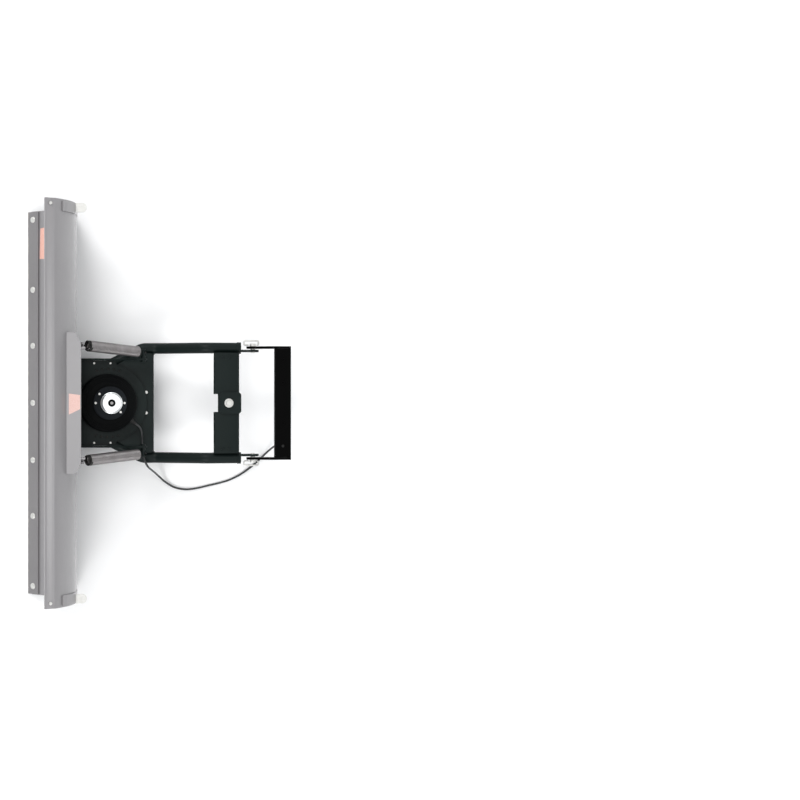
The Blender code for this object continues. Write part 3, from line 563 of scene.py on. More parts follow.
# ---- Reflective patches --------------------------------------------------------------------
# Two plain self-adhesive patches of reflective vinyl, 0.3 mm thick: an orange one on the
# blade's right end and a pale one on the spring bracket. Neither carries any marking.

CELL_MM = 2.2  # the film's prism cells are finer, and are drawn this coarse so that they show


def reflective_vinyl(name, colour, lighter):
    """Prismatic vinyl film: a clear glossy skin over small bright cells."""
    material, shader = new_material(name, Roughness=0.25, IOR=1.46, Coat_Weight=0.4)
    surface = add_node(material, "TexCoord").outputs["Object"]
    cells = add_node(material, "TexVoronoi", {"Vector": surface, "Scale": 1000 / CELL_MM})
    add_node(
        material, "Mix", {"Factor": cells, "A": linear(lighter), "B": linear(colour)},
        shader.inputs["Base Color"], data_type="RGBA",
    )
    add_node(
        material, "Bump", {"Height": cells, "Strength": 0.2, "Distance": 0.0002},
        shader.inputs["Normal"],
    )
    return material


def patch(name, corners, lift, material):
    """A thin film with four corners, raised along a direction."""
    shape = bmesh.new()
    low = [shape.verts.new(Vector(corner)) for corner in corners]
    high = [shape.verts.new(Vector(corner) + Vector(lift)) for corner in corners]
    shape.faces.new(low)
    shape.faces.new(high)
    for i in range(4):
        j = (i + 1) % 4
        shape.faces.new((low[i], low[j], high[j], high[i]))
    return finished_piece(name, shape, material, "blade")


def on_slope(x, up):
    """A point just off the moldboard's straight part, so far above the wear bar's edge."""
    return bar_corner + Vector((x, 0, 0)) + up_bar * up - out_of_bar * (BAR_THICK + 0.0002)


film = tuple(out_of_bar * 0.0003)
patch(
    "orange_patch",
    [on_slope(-0.616, 0.056), on_slope(-0.508, 0.053), on_slope(-0.508, 0.096),
     on_slope(-0.620, 0.096)],
    film, reflective_vinyl("orange_reflective_vinyl", "#d39a8a", "#e2b3a6"),
)

SHELF_TOP = GROUND + 0.391 + 0.0001
patch(
    "pale_patch",
    [(-0.032, -0.7300, SHELF_TOP), (0.038, -0.7300, SHELF_TOP), (0.020, -0.6930, SHELF_TOP),
     (-0.027, -0.6930, SHELF_TOP)],
    (0, 0, 0.0003), reflective_vinyl("pale_reflective_vinyl", "#c0958b", "#cfaea6"),
)


# ---- Ribs, end straps and skid shoes -------------------------------------------------------
# Flame cut steel ribs welded to the moldboard's back carry the trip hinge. At each end a bent
# strap runs down from the lip to a skid shoe, with a rib between it and the moldboard, and a
# small plated tab stands out behind it.

for side in ("left", "right"):
    dressed(f"pivot_rib_{side}", blade_grey, 0.6)
    dressed(f"spring_tab_{side}", blade_grey, 0.6)
dressed("spring_bracket", blade_grey, 0.9)

END_X, STRAP_WIDTH, SHOE_WIDTH = 0.655, 0.034, 0.042
STRAP_LINE = [
    (-0.7500, 0.4135), (-0.7425, 0.4030), (-0.7350, 0.3920), (-0.7170, 0.3560),
    (-0.7085, 0.3100), (-0.7050, 0.2650), (-0.7080, 0.1900), (-0.7140, 0.1100),
    (-0.7140, 0.0120),
]
SHOE_LINE = [
    (-0.8120, 0.0360), (-0.8075, 0.0240), (-0.8020, 0.0140), (-0.7900, 0.0050),
    (-0.7750, 0.0027), (-0.7500, 0.0025), (-0.7300, 0.0027), (-0.7190, 0.0050),
    (-0.7120, 0.0100),
]
ROLL_HEIGHT = ROLL_CENTRE[1] - GROUND
RIB_GAP = 0.0004
RIB_EDGE = [
    (ROLL_CENTRE[0] + (ROLL_RADIUS + RIB_GAP) * math.cos(math.radians(a)),
     ROLL_HEIGHT + (ROLL_RADIUS + RIB_GAP) * math.sin(math.radians(a)))
    for a in [-45 + 40 * step / 10 for step in range(11)]
]
RIB_EDGE += [
    (-0.7080, 0.2300), (-0.7110, 0.1500), (-0.7160, 0.1100), (-0.7160, 0.0125),
    (-0.7850, 0.0125),
]
TAB_X, TAB_HALF, TAB_HEIGHT, TAB_THICK = 0.661, 0.016, 0.316, 0.005
TAB_ROOT, TAB_CENTRE = -0.7080, -0.6870


def flat_plate(outline, low, thickness):
    """A plate lying flat, from its outline in x and y."""
    shape = bmesh.new()
    under = [shape.verts.new((x, y, low)) for x, y in outline]
    over = [shape.verts.new((x, y, low + thickness)) for x, y in outline]
    shape.faces.new(under)
    shape.faces.new(over)
    for i in range(len(outline)):
        j = (i + 1) % len(outline)
        shape.faces.new((under[i], under[j], over[j], over[i]))
    return shape


def smooth_line(line, each):
    """A smooth y-z line through points given by their height above the ground."""
    return [
        (point.x, point.y) for point in smooth_through([(y, GROUND + z, 0) for y, z in line], each)
    ]


def hex_bolt(name, place, direction, across, material, body, washer=True):
    """A hexagon head with its chamfered top and the washer under it."""
    reach, head = across / math.sqrt(3), across * 0.4
    thick = 0.0015 if washer else 0
    shape = bmesh.new()
    if washer:
        turned(
            [(0, 0), (reach * 1.12, 0), (reach * 1.2, 0.0004), (reach * 1.2, thick), (0, thick)],
            place, direction, 28, shape,
        )
    turned(
        [(0, thick), (reach, thick), (reach, thick + head * 0.78), (reach * 0.86, thick + head),
         (0, thick + head)],
        place, direction, 6, shape,
    )
    return finished_piece(name, shape, material, body, 20)


for side, sign in (("left", 1), ("right", -1)):
    x = sign * END_X
    strap = finished_piece(
        f"end_strap_bent_{side}",
        extruded(
            sheet_outline(smooth_line(STRAP_LINE, 5), 0.005), x - STRAP_WIDTH / 2,
            x + STRAP_WIDTH / 2,
        ),
        blade_grey, "blade",
    )
    with_broken_edges(strap, 0.7)
    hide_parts(f"end_strap_{side}")
    shoe = finished_piece(
        f"skid_runner_{side}",
        extruded(
            sheet_outline(smooth_line(SHOE_LINE, 4), 0.005), x - SHOE_WIDTH / 2,
            x + SHOE_WIDTH / 2,
        ),
        zinc_plate, "blade",
    )
    with_broken_edges(shoe, 0.7)
    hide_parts(f"skid_shoe_{side}")
    rib = finished_piece(
        f"end_rib_plate_{side}",
        extruded([(y, GROUND + z) for y, z in RIB_EDGE], x - 0.003, x + 0.003),
        blade_grey, "blade",
    )
    with_broken_edges(rib, 0.6)
    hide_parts(f"end_rib_{side}")
    dressed(f"trip_pin_{side}", zinc_plate, 0.5)
    lip_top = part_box("moldboard")[1].z
    hex_bolt(
        f"lip_bolt_{side}", (sign * 0.660, -0.7890, lip_top - 0.0050), (0, 0.366, 0.931), 0.010,
        zinc_plate, "blade", washer=False,
    )
    middle = sign * TAB_X
    rounded_end = [
        (middle + TAB_HALF * math.cos(a), TAB_CENTRE + TAB_HALF * math.sin(a))
        for a in [math.pi * step / 16 for step in range(17)]
    ]
    tab = finished_piece(
        f"strap_tab_{side}",
        flat_plate(
            [(middle - TAB_HALF, TAB_ROOT), (middle + TAB_HALF, TAB_ROOT), *rounded_end],
            GROUND + TAB_HEIGHT, TAB_THICK,
        ),
        zinc_plate, "blade",
    )
    with_broken_edges(tab, 0.6)


# ---- Trip springs --------------------------------------------------------------------------
# A close wound extension spring on each side, 38 mm over 5.4 mm zinc plated wire, with a hook
# at each end: the rear hook on the turntable's arm, the front one on the blade's tab. The
# solids have fewer turns in the same space.

SPRING_FRONT, SPRING_REAR = (0.195, -0.686, 0.345), (0.176, -0.479, 0.200)
COIL_RADIUS, WIRE_RADIUS, HOOK_RADIUS = 0.0165, 0.0027, 0.0085
TURNS, TURN_STEPS = 38, 20

# Hard drawn spring wire, zinc plated: darker than the bolts, with drawing marks along it.
spring_wire, shader = new_material("zinc_plated_spring_wire", Metallic=1.0)
surface = add_node(spring_wire, "TexCoord").outputs["Object"]
drawn = add_node(spring_wire, "TexNoise", {"Vector": surface, "Scale": 420.0, "Detail": 4.0})
dull = add_node(spring_wire, "TexNoise", {"Vector": surface, "Scale": 28.0, "Detail": 5.0})
add_node(
    spring_wire, "Mix", {"Factor": dull, "A": linear("#a19e9e"), "B": linear("#7a7676")},
    shader.inputs["Base Color"], data_type="RGBA",
)
add_node(
    spring_wire, "MapRange", {"Value": dull, "To Min": 0.3, "To Max": 0.55},
    shader.inputs["Roughness"],
)
add_node(
    spring_wire, "Bump", {"Height": drawn, "Strength": 0.15, "Distance": 0.0001},
    shader.inputs["Normal"],
)

# Near black colour on both hooks and the turns next to them: dark, soft and slightly glossy.
BLACK_END_TURNS = 2.5
spring_end_black, shader = new_material(
    "spring_ends_near_black", Roughness=0.35, IOR=1.45, Specular_IOR_Level=0.3,
)
surface = add_node(spring_end_black, "TexCoord").outputs["Object"]
end_black_mottle = add_node(spring_end_black, "TexNoise", {"Vector": surface, "Scale": 90.0, "Detail": 4.0})
add_node(
    spring_end_black, "Mix", {"Factor": end_black_mottle, "A": linear("#060606"), "B": linear("#2b2a29")},
    shader.inputs["Base Color"], data_type="RGBA",
)

for side, sign in (("left", 1), ("right", -1)):
    front = Vector((sign * SPRING_FRONT[0], SPRING_FRONT[1], GROUND + SPRING_FRONT[2]))
    rear = Vector((sign * SPRING_REAR[0], SPRING_REAR[1], GROUND + SPRING_REAR[2]))
    along = (rear - front).normalized()
    up = along.cross(Vector((1, 0, 0))).normalized()
    across = up.cross(along).normalized()
    lead = HOOK_RADIUS + 0.008
    length = (rear - front).length - 2 * lead
    hook = [math.radians(250 - 160 * step / 12) for step in range(13)]
    points = [front + HOOK_RADIUS * (along * math.cos(a) + up * math.sin(a)) for a in hook]
    points.append(front + along * (HOOK_RADIUS + 0.002) + up * HOOK_RADIUS * 0.75)
    for step in range(TURNS * TURN_STEPS + 1):
        turn = step / TURN_STEPS
        grow = min(1, turn / 0.75, (TURNS - turn) / 0.75)
        reach = COIL_RADIUS * (0.4 + 0.6 * grow)
        angle = 2 * math.pi * turn
        points.append(
            front + along * (lead + length * turn / TURNS)
            + reach * (up * math.cos(angle) + across * math.sin(angle))
        )
    points.append(rear - along * (HOOK_RADIUS + 0.002) + up * HOOK_RADIUS * 0.75)
    hook = [math.radians(90 - 160 * step / 12) for step in range(13)]
    points += [rear + HOOK_RADIUS * (along * math.cos(a) + up * math.sin(a)) for a in hook]
    spring = finished_piece(
        f"wound_spring_{side}", swept(points, WIRE_RADIUS, 8), spring_wire,
        sharp=60,
    )
    # Both hooks and the turns next to them take the near black material.
    spring.data.materials.append(spring_end_black)
    black_end_reach = len(hook) + round(BLACK_END_TURNS * TURN_STEPS)
    for face in spring.data.polygons:
        if not black_end_reach < face.index / 8 < len(points) - len(hook) - TURN_STEPS:
            face.material_index = 1
    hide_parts(f"trip_spring_{side}")
    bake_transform(spring)


# ---- Turntable -----------------------------------------------------------------------------
# The plate that swings the blade, laser cut from 8 mm steel with two rows of index holes, and
# its two side plates, bolted on. Black powder coat with a slight green cast.

frame_black = powder_coat(
    "black_powder_coated_steel", "#0e1615", "#131c1b", "#272e2e", 0.38, Specular_IOR_Level=0.13,
)

dressed("turntable_plate", frame_black, 0.6)
for side, sign in (("left", 1), ("right", -1)):
    dressed(f"side_plate_{side}", frame_black, 0.6)
    dressed(f"rear_stud_{side}", frame_black, 0.4)
    table_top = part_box("turntable_plate")[1].z
    for number, y in enumerate((-0.646, -0.590), 1):
        hex_bolt(
            f"turntable_bolt_{side}_{number}", (sign * 0.1385, y, table_top + 0.0001), (0, 0, 1),
            0.007, zinc_plate, "turntable", washer=False,
        )


# ---- Planetary drive -----------------------------------------------------------------------
# A sun on the motor's shaft drives three planets inside a ring gear on the turntable. They
# are machined steel with a film of oil, round a steel hub, on a plain black acetal bearing
# disc, which shows in the turntable's index holes.

OIL_PATCH_MM = 25.0
gear_steel, shader = new_material("oiled_machined_steel", Metallic=1.0, Coat_Weight=0.3)
surface = add_node(gear_steel, "TexCoord").outputs["Object"]
oil = add_node(gear_steel, "TexNoise", {"Vector": surface, "Scale": 1000 / OIL_PATCH_MM})
add_node(
    gear_steel, "Mix", {"Factor": oil, "A": linear("#8d8e92"), "B": linear("#6f6a62")},
    shader.inputs["Base Color"], data_type="RGBA",
)
add_node(
    gear_steel, "MapRange", {"Value": oil, "To Min": 0.22, "To Max": 0.45},
    shader.inputs["Roughness"],
)
for name in ("ring_gear", "sun_gear", "planet_gear_1", "planet_gear_2", "planet_gear_3"):
    dressed(name, gear_steel)
dressed("pivot_hub", gear_steel)

# Acetal: close grained and waxy, black, and greyer where it has rubbed.
acetal, shader = new_material(
    "turned_black_acetal", Roughness=0.42, IOR=1.48, Specular_IOR_Level=0.15,
)
surface = add_node(acetal, "TexCoord").outputs["Object"]
rubbed_grey = add_node(acetal, "TexNoise", {"Vector": surface, "Scale": 35.0, "Detail": 3.0})
add_node(
    acetal, "Mix", {"Factor": rubbed_grey, "A": linear("#1b1b1b"), "B": linear("#3a3936")},
    shader.inputs["Base Color"], data_type="RGBA",
)
dressed("bearing_disc", acetal)


# ---- Drive housing and motor ---------------------------------------------------------------
# Cast aluminium cover over the gears, 202 mm across, coated matt black, with shallow rings
# turned in its top. The gearhead's flange has four screws, and its end cap is bright turned
# aluminium round a steel set screw, with a thin black cup in its socket as painted shade.

SWIVEL_Y = -0.600
COVER_TOP = GROUND + 0.205
COVER_LOW = GROUND + 0.1669
CAST_GRIT_MM = 1.1

cast_black, shader = new_material(
    "coated_cast_aluminium", Roughness=0.5, IOR=1.5, Specular_IOR_Level=0.06,
)
surface = add_node(cast_black, "TexCoord").outputs["Object"]
grit = add_node(
    cast_black, "TexNoise",
    {"Vector": surface, "Scale": 1000 / CAST_GRIT_MM, "Detail": 4.0, "Roughness": 0.7},
)
patchy = add_node(cast_black, "TexNoise", {"Vector": surface, "Scale": 14.0, "Detail": 5.0})
add_node(
    cast_black, "Mix", {"Factor": patchy, "A": linear("#030404"), "B": linear("#07090a")},
    shader.inputs["Base Color"], data_type="RGBA",
)
add_node(
    cast_black, "MapRange", {"Value": patchy, "To Min": 0.42, "To Max": 0.6},
    shader.inputs["Roughness"],
)
add_node(
    cast_black, "Bump", {"Height": grit, "Strength": 0.35, "Distance": 0.0003},
    shader.inputs["Normal"],
)

grooves = []
for reach in (0.0895, 0.0820, 0.0745):
    grooves += [
        (reach + 0.0022, COVER_TOP), (reach + 0.0016, COVER_TOP - 0.0012),
        (reach - 0.0016, COVER_TOP - 0.0012), (reach - 0.0022, COVER_TOP),
    ]
cover = finished_piece(
    "turned_cover",
    turned(
        [(0.0075, COVER_TOP - 0.0050), (0.0075, COVER_TOP), *reversed(grooves),
         (0.0938, COVER_TOP - 0.0007), (0.0970, COVER_TOP - 0.0026), (0.0995, COVER_TOP - 0.0055),
         (0.1010, COVER_TOP - 0.0090), (0.1010, COVER_LOW), (0.0960, COVER_LOW),
         (0.0960, COVER_TOP - 0.0080), (0.0910, COVER_TOP - 0.0050),
         (0.0075, COVER_TOP - 0.0050)],
        (0, SWIVEL_Y, 0), steps=112,
    ),
    cast_black, "push_frame", 30,
)
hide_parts("drive_housing")

FLANGE_Y = SWIVEL_Y + 0.008
FLANGE_TOP = GROUND + 0.217
flange_black = powder_coat(
    "satin_black_gearhead", "#181b1e", "#1e2124", "#2f3234", 0.46, Specular_IOR_Level=0.06,
)
flange = finished_piece(
    "gearhead_flange",
    turned(
        [(0, FLANGE_TOP - 0.0010), (0.0400, FLANGE_TOP - 0.0010), (0.0404, FLANGE_TOP),
         (0.0548, FLANGE_TOP), (0.0566, FLANGE_TOP - 0.0010), (0.0580, FLANGE_TOP - 0.0030),
         (0.0580, COVER_TOP + 0.0003), (0, COVER_TOP + 0.0003)],
        (0, FLANGE_Y, 0), steps=96,
    ),
    flange_black, "push_frame", 25,
)
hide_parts("motor_flange")
FLANGE_SCREWS = ((229, 0.0475), (270, 0.0490), (90, 0.0490), (49, 0.0475))
for number, (angle, reach) in enumerate(FLANGE_SCREWS, 1):
    turn = math.radians(angle)
    hex_bolt(
        f"flange_screw_{number}",
        (reach * math.cos(turn), FLANGE_Y + reach * math.sin(turn), FLANGE_TOP + 0.0001),
        (0, 0, 1), 0.008, zinc_plate, "push_frame", washer=False,
    )

# Turned aluminium: very bright, with concentric tool marks. The real ones are 0.1 mm apart,
# and are drawn 0.8 mm apart so that they show.
TOOL_MARK_MM = 0.8
CAP_Y = SWIVEL_Y + 0.013
turned_aluminium, shader = new_material(
    "turned_aluminium", Metallic=1.0, Roughness=0.42, Base_Color=linear("#eef0f0"),
)
surface = add_node(turned_aluminium, "TexCoord").outputs["Object"]
centred = add_node(
    turned_aluminium, "Mapping", {"Vector": surface, "Location": (0, -CAP_Y, 0)},
)
marks = add_node(
    turned_aluminium, "TexWave",
    {"Vector": centred, "Scale": 1000 / TOOL_MARK_MM / 20, "Distortion": 0.4, "Detail": 1.0},
    wave_type="RINGS", rings_direction="Z",
)
add_node(
    turned_aluminium, "Bump", {"Height": marks, "Strength": 0.08, "Distance": 0.0001},
    shader.inputs["Normal"],
)
add_node(
    turned_aluminium, "Mix", {"Factor": marks, "A": linear("#f2f4f4"), "B": linear("#dadcdc")},
    shader.inputs["Base Color"], data_type="RGBA",
)

CAP_TOP = GROUND + 0.262
cap = finished_piece(
    "motor_end_cap",
    turned(
        [(0, CAP_TOP - 0.0060), (0.0122, CAP_TOP - 0.0060), (0.0124, CAP_TOP - 0.0008),
         (0.0132, CAP_TOP), (0.0205, CAP_TOP), (0.0209, CAP_TOP - 0.0008),
         (0.0219, CAP_TOP - 0.0008), (0.0223, CAP_TOP), (0.0300, CAP_TOP),
         (0.0326, CAP_TOP - 0.0014), (0.0336, CAP_TOP - 0.0034), (0.0340, CAP_TOP - 0.0070),
         (0.0340, FLANGE_TOP + 0.0060), (0.0350, FLANGE_TOP + 0.0036),
         (0.0370, FLANGE_TOP + 0.0028), (0.0370, FLANGE_TOP - 0.0008), (0, FLANGE_TOP - 0.0008)],
        (0, CAP_Y, 0), steps=96,
    ),
    turned_aluminium, "push_frame", 25,
)
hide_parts("hub_cap")
finished_piece(
    "socket_painted_shade",
    turned(
        [(0, CAP_TOP - 0.0056), (0.0112, CAP_TOP - 0.0056), (0.0116, CAP_TOP - 0.0012),
         (0.0122, CAP_TOP - 0.0012), (0.0122, CAP_TOP - 0.0060), (0, CAP_TOP - 0.0060)],
        (0, CAP_Y, 0),
    ),
    cast_black, "push_frame", 25,
)
# A thin black cup over the socket's floor and wall: painted shade in the hole round the set screw.
finished_piece(
    "set_screw",
    turned(
        [(0, CAP_TOP - 0.0040), (0.0026, CAP_TOP - 0.0040), (0.0029, CAP_TOP - 0.0018),
         (0.0054, CAP_TOP - 0.0018), (0.0060, CAP_TOP - 0.0026), (0.0060, CAP_TOP - 0.0055),
         (0, CAP_TOP - 0.0055)],
        (0, CAP_Y, 0), steps=6,
    ),
    gear_steel, "push_frame", 25,
)


# ---- Push frame ----------------------------------------------------------------------------
# Two 38 mm steel tubes, bent up from the base plate in front to the hitch behind, with a cross
# tube between them and an 8 mm base plate on top. All welded, then powder coated black.

TUBE_RADIUS, TUBE_X = 0.019, 0.192
TUBE_LOW, TUBE_HIGH = GROUND + 0.125, GROUND + 0.222
TUBE_END = -0.152
BEND_RADIUS = 0.045
BASE_REACH, BASE_HALF = 0.130, 0.1725


def rounded_corners(points, radius, count):
    """A path whose corners are arcs."""
    points = [Vector(point) for point in points]
    path = [points[0]]
    for before, corner, after in zip(points, points[1:], points[2:]):
        back, on = (before - corner).normalized(), (after - corner).normalized()
        half = back.angle(on) / 2
        middle = corner + (back + on).normalized() * radius / math.sin(half)
        first = corner + back * radius / math.tan(half) - middle
        last = corner + on * radius / math.tan(half) - middle
        axis, angle = first.rotation_difference(last).to_axis_angle()
        path += [
            middle + Matrix.Rotation(angle * step / count, 3, axis) @ first
            for step in range(count + 1)
        ]
    return [*path, points[-1]]


def weld(name, points, radius, body, closed=False):
    """A weld bead: a thin bar along a path, with the ripple of its pool, coated with the frame."""
    points = [Vector(point) for point in points]
    path = []
    for a, b in zip(points, points[1:]):
        count = max(2, round((b - a).length / 0.0012))
        path += [a.lerp(b, step / count) for step in range(count)]
    path.append(points[-1])
    radii = [radius * (0.86 + 0.14 * math.sin(2 * math.pi * i / 3)) for i in range(len(path))]
    if not closed:
        radii[0] = radii[-1] = radius * 0.35
    coat, slot = (blade_grey, "blade_paint") if body == "blade" else (frame_black, "frame_paint")
    return finished_piece(name, swept(path, radii, 8), coat, body, 80)


for side, sign in (("left", 1), ("right", -1)):
    x = sign * TUBE_X
    corners = [
        (sign * 0.105, -0.650, TUBE_LOW), (sign * 0.150, -0.560, TUBE_LOW), (x, -0.478, TUBE_LOW),
        (x, -0.430, TUBE_LOW), (x, -0.265, TUBE_HIGH), (x, TUBE_END, TUBE_HIGH),
    ]
    path = rounded_corners(corners, BEND_RADIUS, 12)
    tube = finished_piece(
        f"push_tube_{side}", swept(path, TUBE_RADIUS, 36), frame_black,
        "push_frame", 50,
    )
    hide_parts(f"side_tube_{side}")
    reach = TUBE_X - TUBE_RADIUS
    ring = [2 * math.pi * step / 24 for step in range(25)]
    weld(
        f"cross_tube_weld_{side}",
        [(sign * (reach - 0.0008), -0.455 + 0.0172 * math.cos(a), TUBE_LOW + 0.0172 * math.sin(a))
         for a in ring],
        0.0026, "push_frame", closed=True,
    )
    weld(
        f"tube_cap_weld_{side}",
        [(x + 0.0194 * math.cos(a), TUBE_END - 0.0004, TUBE_HIGH + 0.0194 * math.sin(a))
         for a in ring],
        0.0020, "push_frame", closed=True,
    )
    dressed(f"hitch_eye_{side}", frame_black, 0.6)

cross_tube = finished_piece(
    "cross_tube_round",
    swept([(-reach, -0.455, TUBE_LOW), (reach, -0.455, TUBE_LOW)], 0.016, 32),
    frame_black, "push_frame", 50,
)
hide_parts("front_cross_tube")
base_low, base_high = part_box("base_plate")
base_top = base_high.z
front_arc = [
    (BASE_REACH * math.cos(a), SWIVEL_Y + BASE_REACH * math.sin(a))
    for a in [math.radians(-190 + 200 * step / 40) for step in range(41)]
]
left_corner = [(0.150, -0.540), (BASE_HALF, -0.500), (BASE_HALF, base_high.y)]
base = finished_piece(
    "base_plate_between_tubes",
    flat_plate(
        [*front_arc, *left_corner, *[(-x, y) for x, y in reversed(left_corner)]],
        base_low.z, base_top - base_low.z,
    ),
    frame_black, "push_frame", 20,
)
with_broken_edges(base, 0.8)
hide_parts("base_plate")
for side, sign in (("left", 1), ("right", -1)):
    weld(
        f"base_weld_{side}",
        [(sign * (BASE_HALF + 0.0008), -0.498, base_low.z + 0.0006),
         (sign * (BASE_HALF + 0.0008), base_high.y - 0.002, base_low.z + 0.0006)],
        0.0028, "push_frame",
    )
for number, x in enumerate((-0.0375, 0.0345), 1):
    hex_bolt(
        f"base_bolt_{number}", (x, -0.4665, base_top + 0.0001), (0, 0, 1), 0.008, zinc_plate,
        "push_frame",
    )


# ---- Rear cross member and lift point ------------------------------------------------------
# Folded 4 mm plate between the raised ends of the tubes, turned down and welded at each end,
# and a saddle in its middle that carries the plated bolt and washer of the winch's lift strap.

CROSS_SHEET, CROSS_HALF, FLANGE_DROP = 0.004, 0.1712, 0.020
NOTCH_HALF, NOTCH_DEEP = 0.031, 0.0118
cross_low, cross_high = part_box("rear_cross_plate")
cross_top = cross_high.z
under = cross_low.z + 0.0004
creases = [
    (cross_low.y, 0.0), (cross_low.y + 0.003, 0.0045), (cross_low.y + NOTCH_DEEP, 0.0048),
    (cross_low.y + 0.052, 0.0055), (cross_high.y - 0.004, 0.0040), (cross_high.y, 0.0),
]
sheet = bmesh.new()
columns = [-CROSS_HALF, -NOTCH_HALF, NOTCH_HALF, CROSS_HALF]
corners = [[sheet.verts.new((x, y, under + rise)) for y, rise in creases] for x in columns]
for bay in range(3):
    for strip in range(2 if bay == 1 else 0, len(creases) - 1):
        a, b = corners[bay], corners[bay + 1]
        sheet.faces.new((a[strip], b[strip], b[strip + 1], a[strip + 1]))
for column, x in ((corners[0], -CROSS_HALF), (corners[3], CROSS_HALF)):
    dropped = [sheet.verts.new((x, y, under - FLANGE_DROP)) for y, rise in creases]
    for strip in range(len(creases) - 1):
        sheet.faces.new((column[strip], column[strip + 1], dropped[strip + 1], dropped[strip]))
for loose in [corner for corner in sheet.verts if not corner.link_faces]:
    sheet.verts.remove(loose)
cross = finished_piece("cross_plate_folded", sheet, frame_black, "push_frame", 20)
thick = cross.modifiers.new("thickness", "SOLIDIFY")
thick.thickness = CROSS_SHEET
thick.offset = 1
thick.use_even_offset = True
with_broken_edges(cross, 0.8, 20)
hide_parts("rear_cross_plate")
dressed("lift_bracket", frame_black, 0.8)
for side, sign in (("left", 1), ("right", -1)):
    for number, y in enumerate((-0.206, -0.184), 1):
        hex_bolt(
            f"cross_bolt_{side}_{number}", (sign * 0.160, y, cross_top - 0.0004), (0, 0, 1),
            0.008, frame_black, "push_frame",
        )

LIFT_BOLT = (0, -0.186)
bracket_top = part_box("lift_bracket")[1].z
lift = bmesh.new()
turned(
    [(0, 0.0003), (0.0148, 0.0003), (0.0155, 0.0008), (0.0155, 0.0026), (0.0148, 0.0031),
     (0, 0.0031)],
    (*LIFT_BOLT, bracket_top), steps=40, shape=lift,
)
turned(
    [(0, 0.0031), (0.0115, 0.0031), (0.0115, 0.0098), (0.0102, 0.0118), (0, 0.0118)],
    (*LIFT_BOLT, bracket_top), steps=6, shape=lift,
)
lift_bolt = finished_piece("lift_bolt_and_washer", lift, zinc_plate, "push_frame", 20)
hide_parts("lift_bolt")


LIFT_AXIS = (-0.100, GROUND + 0.225)
ARM_OUTER = 0.1896 + 0.008 + 0.0006
PIN_RADIUS = 0.008

for side, sign in (("left", 1), ("right", -1)):
    pin = finished_piece(
        f"pull_pin_{side}",
        turned(
            [(0, ARM_OUTER + 0.0100), (0.0086, ARM_OUTER + 0.0100), (0.0102, ARM_OUTER + 0.0092),
             (0.0110, ARM_OUTER + 0.0076), (0.0110, ARM_OUTER), (PIN_RADIUS, ARM_OUTER),
             (PIN_RADIUS, 0.1782), (0.0072, 0.1762), (0.0060, 0.1750), (0, 0.1750)],
            (0, *LIFT_AXIS), (sign, 0, 0), 40,
        ),
        zinc_plate, f"hitch_{side}", 30,
    )
    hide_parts(f"hitch_pin_{side}")
    y, z = LIFT_AXIS
    near, far = sign * (ARM_OUTER + 0.005), sign * (ARM_OUTER + 0.020)
    wire = rounded_corners(
        [(near, y - 0.0145, z), (near, y - 0.030, z), (far, y - 0.030, z), (far, y + 0.020, z),
         (near, y + 0.020, z), (near, y + 0.0145, z)],
        0.004, 8,
    )
    handle = finished_piece(
        f"wire_handle_{side}", swept(wire, 0.0028, 14), zinc_plate, f"hitch_{side}", 60,
    )
    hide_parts(f"pin_handle_{side}")


# ---- Mount kit -----------------------------------------------------------------------------
# Pressed 5 mm steel channel and its two end arms, which stay bolted under the vehicle. Plain
# matt black enamel. Three black bolts stand in its holes, with their heads below; the fourth
# hole stays open, over the plug holder.

kit_black = powder_coat(
    "matt_black_enamelled_steel", "#020202", "#030303", "#0a0a0a", 0.55, 0.08,
    Specular_IOR_Level=0.04,
)
dressed("mount_channel", kit_black, 0.9)
for side in ("left", "right"):
    dressed(f"mount_arm_{side}", kit_black, 0.7)

for number, x in enumerate((-0.150, -0.070, 0.070), 1):
    bolt = turned(
        [(0, 0.0060), (0.0048, 0.0060), (0.0052, 0.0055), (0.0052, -0.0002), (0.0110, -0.0002),
         (0.0110, -0.0020), (0, -0.0020)],
        (x, 0, -0.0052), steps=28,
    )
    turned(
        [(0, -0.0020), (0.0095, -0.0020), (0.0095, -0.0074), (0.0084, -0.0090), (0, -0.0090)],
        (x, 0, -0.0052), steps=6, shape=bolt,
    )
    finished_piece(f"mount_bolt_{number}", bolt, kit_black, "mount_kit", 25)


# ---- Floor, light and finish ---------------------------------------------------------------
# Plain pale floor, large soft lights overhead, at each side and behind, and a pale sky.

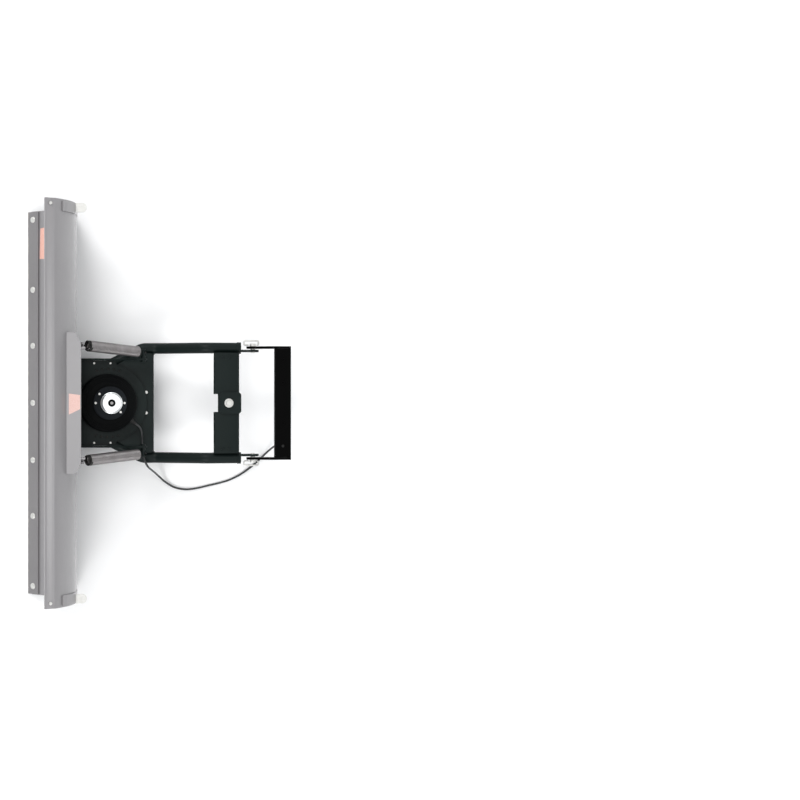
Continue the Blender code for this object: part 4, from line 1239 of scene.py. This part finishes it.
shape = bmesh.new()
bmesh.ops.create_grid(shape, x_segments=1, y_segments=1, size=12)
floor_mesh = bpy.data.meshes.new("floor")
shape.to_mesh(floor_mesh)
shape.free()
floor = bpy.data.objects.new("floor", floor_mesh)
bpy.context.scene.collection.objects.link(floor)
floor.location = (0, -0.45, cad_low.z - 0.0002)
pale_floor, shader = new_material("pale_matt_floor", Roughness=0.9)
surface = add_node(pale_floor, "TexCoord").outputs["Object"]
mottle = add_node(pale_floor, "TexNoise", {"Vector": surface, "Scale": 3.0, "Detail": 2.0})
add_node(
    pale_floor, "Mix", {"Factor": mottle, "A": linear("#f7f7f7"), "B": linear("#fafafa")},
    shader.inputs["Base Color"], data_type="RGBA",
)
floor_mesh.materials.append(pale_floor)


def soft_light(name, place, aim, size, power):
    """A round softbox, so many metres across, turned towards a point."""
    lamp = bpy.data.lights.new(name, "AREA")
    lamp.shape = "DISK"
    lamp.size = size
    lamp.energy = power
    made = bpy.data.objects.new(name, lamp)
    bpy.context.scene.collection.objects.link(made)
    made.location = place
    way = Vector(aim) - Vector(place)
    made.rotation_mode = "QUATERNION"
    made.rotation_quaternion = way.to_track_quat("-Z", "Y")
    return made


soft_light("overhead_softbox", (-0.2, -1.0, 7.0), (0, -0.6, -0.1), 3.4, 95)
soft_light("left_softbox", (4.4, -2.0, 4.2), (0, -0.4, -0.1), 2.6, 165)
soft_light("right_softbox", (-4.4, -2.4, 4.2), (0, -0.4, -0.1), 2.6, 190)
soft_light("rear_softbox", (0.3, 4.8, 5.5), (0, -0.7, 0.0), 2.7, 90)

# The sky is pale round the horizon and dimmer overhead, so that flat black paint stays dark.
world = bpy.data.worlds.new("soft_studio")
world.use_nodes = True
bpy.context.scene.world = world
background = world.node_tree.nodes["Background"]
direction = world.node_tree.nodes.new("ShaderNodeTexCoord")
height = world.node_tree.nodes.new("ShaderNodeSeparateXYZ")
dimming = world.node_tree.nodes.new("ShaderNodeMapRange")
dimming.interpolation_type = "SMOOTHSTEP"
for socket, value in (("From Min", 0.55), ("From Max", 0.92), ("To Min", 0.92), ("To Max", 0.22)):
    dimming.inputs[socket].default_value = value
world.node_tree.links.new(direction.outputs["Generated"], height.inputs["Vector"])
world.node_tree.links.new(height.outputs["Z"], dimming.inputs["Value"])
world.node_tree.links.new(dimming.outputs["Result"], background.inputs["Strength"])
background.inputs["Color"].default_value = linear("#f6f8fa")
